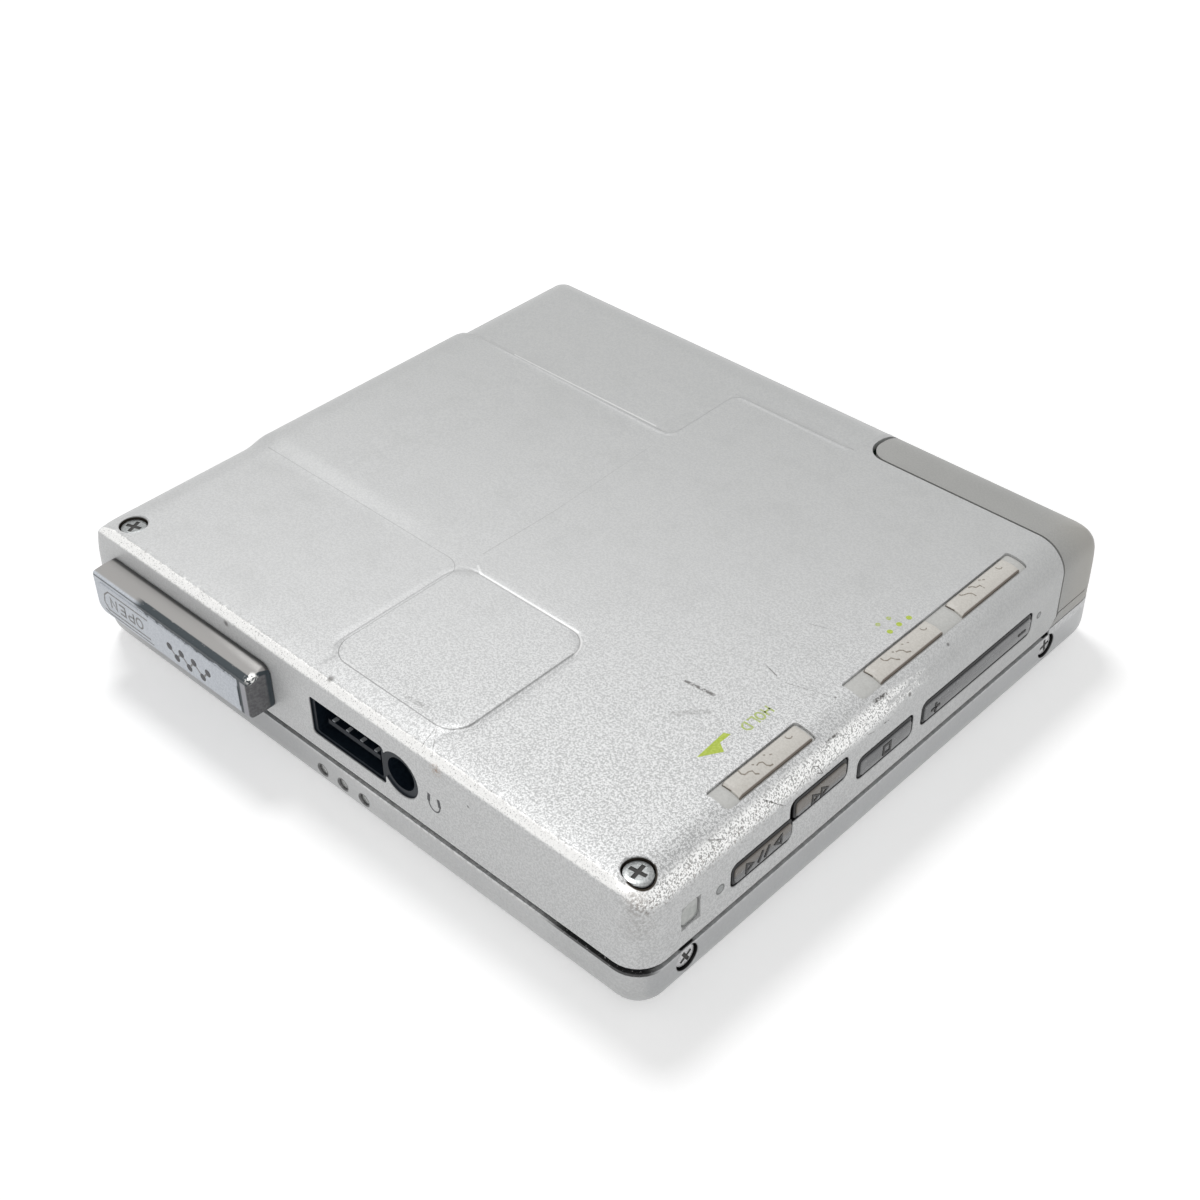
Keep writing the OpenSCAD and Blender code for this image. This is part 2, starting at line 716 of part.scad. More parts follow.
// Socket block: a round headphone bore beside a flat remote socket
cavity_x0 = remote_x0 + 0.5;
cavity_x1 = remote_x1 - 0.6;
cavity_z0 = remote_z0 + 0.35;
cavity_z1 = remote_z1 - 0.4;
tongue_x0 = cavity_x0 + 1;
tongue_x1 = cavity_x1 - 1;
tongue_z = cavity_z0 + 1.1;
tongue_t = 0.6;
socket_fit = 0.05;

module headphone_socket() {
    color([0.07, 0.07, 0.08]) difference() {
        union() {
            front_pad(remote_x0 + socket_fit, remote_x1, remote_z0 + socket_fit, remote_z1 - socket_fit, 0.35,
                socket_face, socket_back_flat);
            rod_y_dir(socket_face, -in_d + fit, jack_x, jack_z, socket_ring_r - socket_fit);
            box(remote_x1 - 1, jack_x + socket_ring_r, -in_d + fit, socket_back, frame_top, remote_z1 + 0.2);
            // Foot down to the frame
            box(remote_x0 + 1, remote_x1, -in_d + fit, -in_d + 4, frame_top, remote_z0 + 1);
        }
        rod_y_dir(socket_face - 1, socket_face + jack_l, jack_x, jack_z, jack_r);
        difference() {
            front_pad(cavity_x0, cavity_x1, cavity_z0, cavity_z1, 0.3, socket_face - 1, socket_face + cavity_l);
            box(tongue_x0, tongue_x1, socket_face + 0.6, half_d, tongue_z, tongue_z + tongue_t);
        }
    }
}

remote_pins = 4;
remote_pitch = 2;
remote_pin_x = tongue_x0 + 0.5;

module remote_contacts() {
    color([0.85, 0.7, 0.35]) for (k = [0:remote_pins - 1])
        box(remote_pin_x + k * remote_pitch, remote_pin_x + k * remote_pitch + 0.4, socket_face + 0.65,
            socket_face + cavity_l - 0.1, tongue_z + tongue_t, tongue_z + tongue_t + 0.12);
}

module indicator_lens() {
    color([0.55, 0.56, 0.55]) union() {
        side_pad(lamp_window[0] + fit, lamp_window[1] - fit, lamp_window[2] + fit, lamp_window[3] - fit,
            window_r - fit, in_w - 0.5, half_w - 0.25);
        side_pad(lamp_window[0] - 0.4, lamp_window[1] + 0.4, lamp_window[2] - 0.2, lamp_window[3] + 0.4,
            window_r, board_face_x, in_w - fit);
    }
}

// Boards and switches behind the control side
bracket_t = 0.4;
board_side_t = 0.4;
lug_l = 2.4;
lug_gap = 0.3;
lug_t = 0.4;
board_face_x = bracket_x + bracket_t + board_side_t;
bracket_y0 = -half_d + 4.75;
bracket_y1 = half_d - 11.95;
bracket_top = volume_window[3] - key_gap + lug_gap + lug_t + 0.7;

module key_bracket() {
    color([0.6, 0.61, 0.62]) difference() {
        union() {
            box(bracket_x, bracket_x + bracket_t, bracket_y0, bracket_y1, frame_top, bracket_top);
            // Lugs above and below the rocker
            box(bracket_x, in_w - fit, rocker_y - lug_l / 2, rocker_y + lug_l / 2, rocker_z1 + lug_gap,
                rocker_z1 + lug_gap + lug_t);
            box(bracket_x, rocker_x - rocker_pin_r - 0.2, rocker_y - lug_l / 2, rocker_y + lug_l / 2, frame_top,
                frame_top + 0.1);
        }
        rod_z_dir(0, case_h, rocker_x, rocker_y, rocker_pin_r + pin_gap);
    }
}

module key_board() {
    color([0.15, 0.4, 0.22]) difference() {
        box(bracket_x + bracket_t, board_face_x, bracket_y0, bracket_y1, frame_top + 0.2, bracket_top - 0.5);
        box(bracket_x, board_face_x + 1, rocker_y - 1.4, rocker_y + 1.4, rocker_z1 + 0.1, bracket_top);
    }
}

switch_at = [[-20.1, 9.4], [-12.1, 11.1], [-2.1, 9.5], [6.4, 9.6], [19.6, 9.6]];
switch_w = 2.6;
plunger_t = 0.4;

// The switches reach to where a key stops
flange_t = 0.4;
cap_out = 0.1;
switch_t = in_w - 2 * fit - flange_t - key_travel - board_face_x;

module key_switches() {
    color([0.75, 0.75, 0.72]) for (p = switch_at) {
        box(board_face_x, board_face_x + switch_t - plunger_t, p[0] - switch_w / 2, p[0] + switch_w / 2,
            p[1] - 0.8, p[1] + 0.8);
        rod_x(board_face_x + switch_t - plunger_t - cut, board_face_x + switch_t, p[0], p[1], 0.6);
    }
}

switch_board_t = 0.4;
slide_switch_l = 6;

module switch_board() {
    color([0.15, 0.4, 0.22])
        box(knob_flange_x0, knob_flange_x1 + 0.3, bracket_y0 + 6.7, bracket_y1, bracket_top,
            bracket_top + switch_board_t);
}

slide_switch_h = knob_flange_z - 0.15 - bracket_top - switch_board_t;

module slide_switches() {
    color([0.7, 0.7, 0.68]) for (k = knobs) {
        y = (k[0] + k[1]) / 2;
        box(knob_flange_x0 + 0.3, knob_flange_x1, y - slide_switch_l / 2, y + slide_switch_l / 2,
            bracket_top + switch_board_t, bracket_top + switch_board_t + slide_switch_h);
    }
}

// Battery bay
battery_y0 = -in_d + 0.95;
battery_z = frame_top + 0.4;
battery_r = 0.8;

module battery() {
    color([0.35, 0.4, 0.5]) union() {
        translate([0, battery_y0 + battery_l, 0]) rotate([90, 0, 0]) linear_extrude(battery_l)
            pad(battery_x, battery_x + battery_w, battery_z, battery_z + battery_t, battery_r);
        rod_y_dir(battery_y0 + battery_l - cut, battery_y0 + battery_l + 0.3, battery_x + battery_w / 2,
            battery_z + battery_t / 2, 2);
    }
}

tray_t = 0.3;
tray_gap = 0.1;
tray_y1 = in_d - 2.15;

module battery_tray() {
    x0 = battery_x - tray_gap - tray_t;
    x1 = battery_x + battery_w + tray_gap;
    color([0.3, 0.3, 0.32]) union() {
        box(x0, x1 + tray_t, battery_y0 - 0.1, tray_y1, frame_top, frame_top + tray_t);
        box(x0, x0 + tray_t, battery_y0 - 0.1, door_y - 1.5, frame_top, battery_z + battery_t - 0.5);
        box(x1, x1 + tray_t, battery_y0 - 0.1, door_y - 1.5, frame_top, battery_z + battery_t - 0.5);
    }
}

module battery_spring() {
    x = battery_x + battery_w / 2;
    color([0.85, 0.85, 0.86]) union() {
        box(x - leaf_w / 2, x + leaf_w / 2, -in_d + fit, -in_d + fit + 0.3, frame_top,
            battery_z + battery_t - 0.6);
        rod_y_dir(-in_d + fit + 0.2, battery_y0 - 0.05, x, battery_z + battery_t / 2, 1.6);
    }
}

module door_form() {
    difference() {
        cover_form(door_bottom, 0);
        cover_form(0, -skin);
    }
}

module battery_door() {
    color([0.5, 0.5, 0.49]) difference() {
        union() {
            intersection() {
                door_form();
                translate([0, 0, -cut]) linear_extrude(2 * case_h) door_area(0, 0);
            }
            intersection() {
                cover_form(door_bottom, 0);
                union() {
                    rod_z_dir(knuckle_z, knuckle_top, door_pivot_x, door_pivot_y, knuckle_r);
                    box(door_pivot_x, door_pivot_x + 1.5, door_pivot_y, half_d, knuckle_z, knuckle_top);
                }
            }
        }
        rod_z_dir(0, knuckle_top + 0.2, door_pivot_x, door_pivot_y, door_pin_r + pin_gap);
        // Clear of the frame's back edge below the knuckle
        box(0, door_pivot_x + knuckle_r + 0.4, door_y, case_d, 0, knuckle_z);
    }
}

leaf_w = 8;
leaf_t = 0.4;
leaf_drop = 1.9;

module door_contact() {
    x = battery_x + battery_w / 2;
    leaf_z = battery_z + battery_t / 2 - leaf_drop;
    back = battery_y0 + battery_l + 0.35;
    color([0.85, 0.85, 0.86]) union() {
        box(x - leaf_w / 2, x + leaf_w / 2, in_d - leaf_t, in_d, leaf_z - 0.7, leaf_z + 0.7);
        rod_y_dir(back, in_d - leaf_t + cut, x, leaf_z, 0.7);
    }
}

module door_pin() {
    color([0.8, 0.8, 0.82]) rod_z_dir(frame_z + 0.1, knuckle_top, door_pivot_x, door_pivot_y, door_pin_r);
}

// Floating mechanism
chassis_z = frame_top + damper_gap;
chassis_top = chassis_z + chassis_t;
lens_x = -15.7;
turret_x = 3.3;
turret_y = 4;
pickup_x0 = lens_x - 5.7;
pickup_x1 = lens_x + 5.7;
pickup_y = rod_y + 1.5;
pickup_top = rod_z + 2.2;
pickup_z = chassis_top + 0.2;
damper_r = 1.8;
damper_neck_r = 1.2;
rod_x0 = chassis_x0 + 0.3;
rod_x1 = -4;
rod_foot_t = 0.6;
slit = 0.8;

module mech_chassis() {
    color([0.66, 0.67, 0.69]) difference() {
        union() {
            translate([0, 0, chassis_z]) linear_extrude(chassis_t)
                pad(chassis_x0, chassis_x1, -chassis_y, chassis_y, 2);
            // Feet that hold the ends of the guide rods
            for (s = [-1, 1], x = [rod_x0, rod_x1 - rod_foot_t])
                box(x, x + rod_foot_t, s * rod_y - 1.1, s * rod_y + 1.1, chassis_z, rod_z + rod_r + 0.4);
        }
        translate([0, 0, chassis_z - 1]) linear_extrude(chassis_t + 2) {
            pad(lens_x - turret_x - pickup_travel - slit, lens_x + turret_x + slit, -turret_y - slit,
                turret_y + slit, 1);
            circle(spindle_r + 0.9);
            for (p = damper_at) translate(p) circle(damper_neck_r);
            // Room round the socket block
            translate([remote_x0 - 0.7, -case_d]) square([case_w, case_d + socket_back_flat + 0.6]);
            translate([remote_x1 - 1.6, -case_d]) square([case_w, case_d + socket_back + 0.7]);
        }
        for (s = [-1, 1]) rod_x(rod_x0 - 1, rod_x1 + 1, s * rod_y, rod_z, rod_r);
    }
}

module dampers() {
    color([0.12, 0.12, 0.12]) for (p = damper_at) difference() {
        union() {
            rod_z_dir(frame_top, chassis_z, p[0], p[1], damper_r);
            rod_z_dir(frame_top, chassis_top, p[0], p[1], damper_neck_r);
            rod_z_dir(chassis_top, chassis_top + 0.5, p[0], p[1], damper_r);
        }
        rod_z_dir(frame_top - 1, chassis_top + 1, p[0], p[1], damper_pin_r + pin_gap);
    }
}

motor_h = 2.6;
motor_base_t = 0.3;

module spindle_motor() {
    color([0.5, 0.5, 0.52]) difference() {
        union() {
            rod_z_dir(chassis_top, chassis_top + motor_base_t, 0, 0, motor_r);
            rod_z_dir(chassis_top, chassis_top + motor_h, 0, 0, motor_r - 0.8);
            rod_z_dir(chassis_z, chassis_top + motor_h + 0.4, 0, 0, spindle_r + 0.85);
        }
        rod_z_dir(0, case_h, 0, 0, spindle_r + pin_gap);
    }
}

turntable_z = frame_z - 1.6;
turntable_top = frame_top + 0.1;

module turntable() {
    color([0.15, 0.15, 0.16]) difference() {
        union() {
            rod_z_dir(turntable_top - 1.2, turntable_top, 0, 0, turntable_r);
            rod_z_dir(turntable_z, turntable_top, 0, 0, 2.4);
        }
        rod_z_dir(0, case_h, 0, 0, spindle_r);
    }
}

module spindle_shaft() {
    color([0.85, 0.85, 0.87]) rod_z_dir(turntable_z + 0.2, chassis_top + motor_h + 0.8, 0, 0, spindle_r);
}

module guide_rods() {
    color([0.85, 0.85, 0.87]) for (s = [-1, 1]) rod_x(rod_x0, rod_x1, s * rod_y, rod_z, rod_r);
}

// Lead screw, its gear and the sled motor
sled_r = 2;
sled_x1 = chassis_x1 - 6.4;
sled_x0 = sled_x1 - 10;
screw_z = rod_z + 0.5;
screw_x0 = rod_x0 + 1;
gear_x = sled_x0 - 2.2;
gear_t = 1.2;
bearing_t = 1;
bearing_x = gear_x - 2;
teeth = 20;
pinion_teeth = 8;
tooth_h = 0.3;
tooth_root = 0.28;
tooth_tip = 0.1;
motor_y = -screw_y - gear_r - pinion_r - 0.06;
foot_t = 0.5;
motor_shaft_r = 0.35;

module gear(r, count, thick, phase) {
    tooth = [[r - tooth_h / 2, -tooth_root / 2], [r + tooth_h / 2, -tooth_tip / 2],
        [r + tooth_h / 2, tooth_tip / 2], [r - tooth_h / 2, tooth_root / 2]];
    rotate([0, 90, 0]) linear_extrude(thick)
        polygon([for (k = [0:count - 1], p = tooth) let (a = phase + 360 * k / count)
            [p[0] * cos(a) - p[1] * sin(a), p[0] * sin(a) + p[1] * cos(a)]]);
}

module lead_screw() {
    color([0.8, 0.8, 0.82]) union() {
        rod_x(screw_x0, gear_x + gear_t, -screw_y, screw_z, screw_r / 2);
        rod_x(screw_x0 + bearing_t + 0.3, bearing_x - 0.2, -screw_y, screw_z, screw_r);
    }
}

module screw_gear() {
    color([0.9, 0.88, 0.8]) translate([gear_x, -screw_y, screw_z]) difference() {
        gear(gear_r, teeth, gear_t, 90);
        rod_x(-1, gear_t + 1, 0, 0, screw_r / 2);
    }
}

// The pinion turns on the sled motor's own shaft
module motor_pinion() {
    color([0.85, 0.75, 0.5]) translate([gear_x, motor_y, screw_z]) union() {
        gear(pinion_r, pinion_teeth, gear_t, -90 + 180 / pinion_teeth);
        rod_x(-0.3, sled_x1 - gear_x + 0.5, 0, 0, motor_shaft_r);
    }
}

module sled_motor() {
    color([0.6, 0.6, 0.62]) difference() {
        union() {
            rod_x(sled_x0, sled_x1, motor_y, screw_z, sled_r);
            for (x = [sled_x0, sled_x1 - foot_t])
                box(x, x + foot_t, motor_y - sled_r, motor_y + sled_r, chassis_top, screw_z);
        }
        rod_x(sled_x0 - 1, sled_x1 + 1, motor_y, screw_z, motor_shaft_r + pin_gap);
    }
}

module screw_bearings() {
    color([0.75, 0.7, 0.55]) difference() {
        for (x = [screw_x0 - 0.3, bearing_x])
            box(x, x + bearing_t, -screw_y - 1.4, -screw_y + 1.4, chassis_top, screw_z + 1.2);
        rod_x(screw_x0, gear_x, -screw_y, screw_z, screw_r / 2 + pin_gap);
    }
}

turret_z = frame_z + 0.6;
lens_r = 1.5;
holder_r = 2.3;
holder_h = 1.3;
focus_room = 0.4;
arm_w = 3;
arm_t = 1.2;
arm_gap = 0.06;
lens_z = frame_z - 0.1;
lens_flat = 0.6;

module pickup_body() {
    color([0.4, 0.41, 0.43]) difference() {
        union() {
            box(pickup_x0, pickup_x1, -pickup_y, pickup_y, pickup_z, pickup_top);
            box(lens_x - turret_x, lens_x + turret_x, -turret_y, turret_y, turret_z, pickup_z + cut);
            // Arm that runs on the lead screw
            box(lens_x - arm_w / 2, lens_x + arm_w / 2, -screw_y + screw_r + arm_gap, -pickup_y + cut,
                screw_z - arm_t / 2, screw_z + arm_t / 2);
        }
        for (s = [-1, 1]) rod_x(pickup_x0 - 1, pickup_x1 + 1, s * rod_y, rod_z, rod_r + pin_gap);
        rod_z_dir(0, lens_z + holder_h + focus_room, lens_x, 0, holder_r + 0.3);
    }
}

module lens_holder() {
    color([0.1, 0.1, 0.1]) difference() {
        rod_z_dir(lens_z, lens_z + holder_h, lens_x, 0, holder_r);
        rod_z_dir(0, lens_z + 0.5, lens_x, 0, lens_r);
    }
}

module objective_lens() {
    color([0.4, 0.5, 0.7]) translate([lens_x, 0, lens_z + 0.5]) difference() {
        sphere(r = lens_r - 0.02);
        box(-lens_r, lens_r, -lens_r, lens_r, 0, lens_r);
        box(-lens_r, lens_r, -lens_r, lens_r, -lens_r, -lens_r + lens_flat);
    }
}

module open_slider() {
    color([0.62, 0.63, 0.65]) union() {
        difference() {
            front_pad(slider_x0, slider_x1, slider_z0, slider_z1, slider_r, -half_d - slider_out,
                -half_d - wall_gap);
            // Sloping upper side
            translate([slider_x0 - 1, -half_d - slider_out, slider_front_z]) rotate([16, 0, 0])
                cube([slider_x1 - slider_x0 + 2, slider_out + 2, 3]);
        }
        front_pad(neck_x0, neck_x1, neck_z0, neck_z1, 0.3, -half_d - wall_gap - cut, -in_d + wall_gap);
    }
}

module slider_plate() {
    color([0.7, 0.71, 0.72])
        box(plate_x0, plate_x1, -in_d + wall_gap, -in_d + wall_gap + plate_t, frame_top + 0.15, neck_z1 + 1);
}

module latch_hook() {
    y = -in_d + wall_gap + plate_t;
    color([0.7, 0.71, 0.72]) union() {
        box(hook_x0, hook_x1, y, y + hook_t, hook_z, neck_z0 + 2);
        box(hook_x0 + 1, hook_x1 - 1, y, hook_back, hook_z, hook_z + 0.5);
    }
}

// Slide knobs on the cover: a grip in the slot and a flange under the skin
module slide_knob(k, before, after) {
    color([0.78, 0.75, 0.7]) union() {
        intersection() {
            translate([0, 0, knob_flange_z]) linear_extrude(knob_top - knob_flange_z)
                pad(knob_x0, knob_x1, k[0], k[1], 0.25);
            cover_form(0, 0.1);
        }
        box(knob_flange_x0, knob_flange_x1, k[0] - before, k[1] + after,
            knob_flange_z, knob_flange_z + knob_flange_t);
    }
}

module hold_knob() { slide_knob(knobs[0], hold_travel + 0.3, hold_travel + 0.5); }

module preset_knob() { slide_knob(knobs[1], 1.2, 0.5); }

module limit_knob() { slide_knob(knobs[2], 0.5, 1.2); }

// Push keys: a cap in its window and a flange behind the skin
module push_key(w, y0_out, y1_out, z0_out, z1_out) {
    union() {
        side_pad(w[0] + key_gap, w[1] - key_gap, w[2] + key_gap, w[3] - key_gap, window_r - key_gap,
            in_w - fit - flange_t, half_w + cap_out);
        side_pad(w[0] - y0_out, w[1] + y1_out, w[2] - z0_out, w[3] + z1_out, window_r,
            in_w - fit - flange_t, in_w - fit);
    }
}

// The two keys that share one window meet along a slanted gap
share_y = -16.1;
share_z = 10.35;

module play_key() {
    color([0.33, 0.33, 0.33]) difference() {
        push_key(rewind_window, 0.5, 0, 0.05, 0.3);
        box(0, case_w, share_y - 0.3, 0, share_z - 0.6, case_h);
        box(0, case_w, share_y + 0.1, 0, 0, case_h);
    }
}

module forward_key() {
    color([0.33, 0.33, 0.33]) difference() {
        push_key(forward_window, 0, 0.5, 0, 0);
        box(0, case_w, -case_d, share_y + 0.3, 0, case_h);
    }
}

module stop_key() {
    color([0.33, 0.33, 0.33]) push_key(stop_window, 0.5, 0.3, 0.05, 0.4);
}

rocker_x = in_w - 0.75;
rocker_y = (volume_window[0] + volume_window[1]) / 2;
rocker_z0 = volume_window[2] + key_gap;
rocker_z1 = volume_window[3] - key_gap;
rocker_pin_r = 0.35;
rocker_gap = 0.25;

module volume_key() {
    color([0.33, 0.33, 0.33]) union() {
        side_pad(volume_window[0] + key_gap, volume_window[1] - key_gap, rocker_z0, rocker_z1,
            window_r - key_gap, board_face_x + switch_t + rocker_gap, half_w + cap_out);
        rod_z_dir(frame_top + 0.1, rocker_z1 + 0.9, rocker_x, rocker_y, rocker_pin_r);
    }
}

lid_shell();
lid_frame();
lid_screws();
lid_catch();
charging_contacts();
hinge_pins();
disc_holder();
disc_springs();
bottom_cover();
cover_screws();
main_frame();
circuit_board();
chips();
headphone_socket();
remote_contacts();
indicator_lens();
key_bracket();
key_board();
key_switches();
switch_board();
slide_switches();
battery();
battery_tray();
battery_spring();
battery_door();
door_contact();
door_pin();
mech_chassis();
dampers();
spindle_motor();
turntable();
spindle_shaft();
guide_rods();
screw_bearings();
sled_motor();
lead_screw();
screw_gear();
motor_pinion();
pickup_body();
lens_holder();
objective_lens();
open_slider();
slider_plate();
latch_hook();
hold_knob();
preset_knob();
limit_knob();
play_key();
forward_key();
stop_key();
volume_key();
locating_pins();
hinge_cover();
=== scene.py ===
"""Looks of a portable minidisc player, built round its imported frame.

Lengths in the mesh code are millimetres in the frame of the model. make() turns them into metres.
"""

import json
import math

import bmesh
import bpy
from mathutils import Matrix, Vector


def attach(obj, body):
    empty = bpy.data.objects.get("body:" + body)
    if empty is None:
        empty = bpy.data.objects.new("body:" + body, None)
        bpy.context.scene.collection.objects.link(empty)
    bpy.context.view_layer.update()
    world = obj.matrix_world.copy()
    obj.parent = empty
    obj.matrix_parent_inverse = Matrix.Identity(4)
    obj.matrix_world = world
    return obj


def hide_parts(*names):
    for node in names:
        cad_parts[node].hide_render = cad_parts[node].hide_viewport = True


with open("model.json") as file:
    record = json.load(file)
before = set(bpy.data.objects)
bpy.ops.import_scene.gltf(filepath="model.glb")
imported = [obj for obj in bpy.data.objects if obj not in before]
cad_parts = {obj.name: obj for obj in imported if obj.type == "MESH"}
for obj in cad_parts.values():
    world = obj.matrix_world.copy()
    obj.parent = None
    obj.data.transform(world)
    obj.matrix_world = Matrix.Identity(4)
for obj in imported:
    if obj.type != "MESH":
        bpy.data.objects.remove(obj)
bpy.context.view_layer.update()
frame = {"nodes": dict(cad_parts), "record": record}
scene = bpy.context.scene

MM = 0.001

# The case: half its width and depth, the top of the cover, its corners seen from above and the skin's thickness
HALF_W = 39.45
HALF_D = 35.95
TOP = 16.0
CORNER = 3.2
SKIN = 0.8

# Radii of the rounded edges at -X, +X, -Y and +Y, and the heights where the two shells end
COVER_EDGES = (6.0, 3.5, 1.0, 6.0)
LID_EDGES = (3.0, 3.0, 3.0, 3.0)
LID_TOP = 5.4
COVER_BASE = 6.1

# Hinge side: the pin of the battery door in X and Y, and where the skins end for the lid to swing
PIN = (15.9, 34.9)
SWING_Y = 33.95

# Screws: (x, y, turn of the cross) on the cover and (y, turn) on both sides of the lid, and where their heads sit
COVER_SCREWS = ((-33.4, -33.4, 20.0), (36.8, -33.4, 8.0))
COVER_HEAD_Z = 14.85
LID_SCREWS = ((-29.9, 30.0), (26.5, 10.0))
LID_SCREW_Z = 3.9
LID_HEAD_X = 38.55

# Slider: its right end leans by this much in X for each millimetre in Y, and the outer face of its panel
LEAN = 0.26
PANEL = -38.67

# Front face: the headphone jack in X and Z, the contacts in the lid and the tips of the springs behind the cover
JACK = (9.6, 10.4)
CONTACT_X = (-2.3, 0.67, 3.75)
CONTACT_Z = 3.2
TIPS = -34.55

# Control side: windows (y0, y1, z0, z1) and small raised points (y, z, radius)
WINDOWS = {
    "rewind": (-24.3, -15.9, 8.0, 10.75),
    "forward": (-16.3, -8.0, 9.95, 12.65),
    "stop": (-6.4, 2.2, 8.15, 10.9),
    "volume": (3.6, 22.4, 8.15, 11.05),
    "lamp": (-30.75, -28.45, 8.1, 10.75),
}
POINTS = ((-25.8, 9.3, 0.42), (23.65, 9.8, 0.26))

# Top: slots and knobs (y0, y1), and how far each knob slides towards the front
SLOTS = ((-23.1, -10.8), (-4.1, 22.9))
KNOBS = {"hold": (-21.2, -11.2), "preset": (-1.0, 8.7), "limit": (12.0, 21.7)}
TRAVEL = {"hold": 1.7, "preset": 2.8, "limit": 1.6}

# The tab pressed into the cover (x0, x1, y0, y1); the band to its left rises by this many degrees
TAB = (-3.5, 14.2, -33.0, -15.2)
TILT = 0.9

# The keys' outer face, the height of print on a surface and the pitch of a screw's thread
FACE = HALF_W + 0.03
PRINT = 0.012
PITCH = 0.35

# A drawn line is at full strength over this share of its width
LINE_CORE = 0.35

SOCKETS = {"color": "Base Color", "metallic": "Metallic", "rough": "Roughness", "coat": "Coat Weight",
           "coat_rough": "Coat Roughness", "specular": "Specular IOR Level"}


# Node helpers


class Nodes:
    """A node tree, emptied, with short ways to add to it."""

    def __init__(self, owner):
        owner.use_nodes = True
        self.tree = owner.node_tree
        self.tree.nodes.clear()

    def put(self, socket, value):
        if isinstance(value, bpy.types.NodeSocket):
            self.tree.links.new(value, socket)
        else:
            socket.default_value = value

    def add(self, kind, *values, inputs=(), **props):
        """Adds a node; values fill its sockets in order, inputs by name, and props set its properties."""
        made = self.tree.nodes.new("ShaderNode" + kind)
        for key, value in props.items():
            setattr(made, key, value)
        for socket, value in zip(made.inputs, values):
            self.put(socket, value)
        for key, value in dict(inputs).items():
            self.put(made.inputs[key], value)
        return made

    def math(self, operation, a, b=0.0, clamp=False):
        return self.add("Math", a, b, operation=operation, use_clamp=clamp).outputs[0]

    def vector(self, operation, a, b=None, scale=None):
        inputs = {} if scale is None else {"Scale": scale}
        made = self.add("VectorMath", a, *(() if b is None else (b,)), inputs=inputs, operation=operation)
        return made.outputs["Value" if operation in ("LENGTH", "DOT_PRODUCT", "DISTANCE") else "Vector"]

    def ramp(self, value, low, high, start=0.0, end=1.0, kind="LINEAR"):
        limits = {"Value": value, "From Min": low, "From Max": high, "To Min": start, "To Max": end}
        return self.add("MapRange", inputs=limits, interpolation_type=kind).outputs["Result"]

    def seen(self, first, *others):
        """1 for rays of the given kinds."""
        path = self.add("LightPath").outputs
        result = path["Is %s Ray" % first]
        for kind in others:
            result = self.math("MAXIMUM", result, path["Is %s Ray" % kind])
        return result


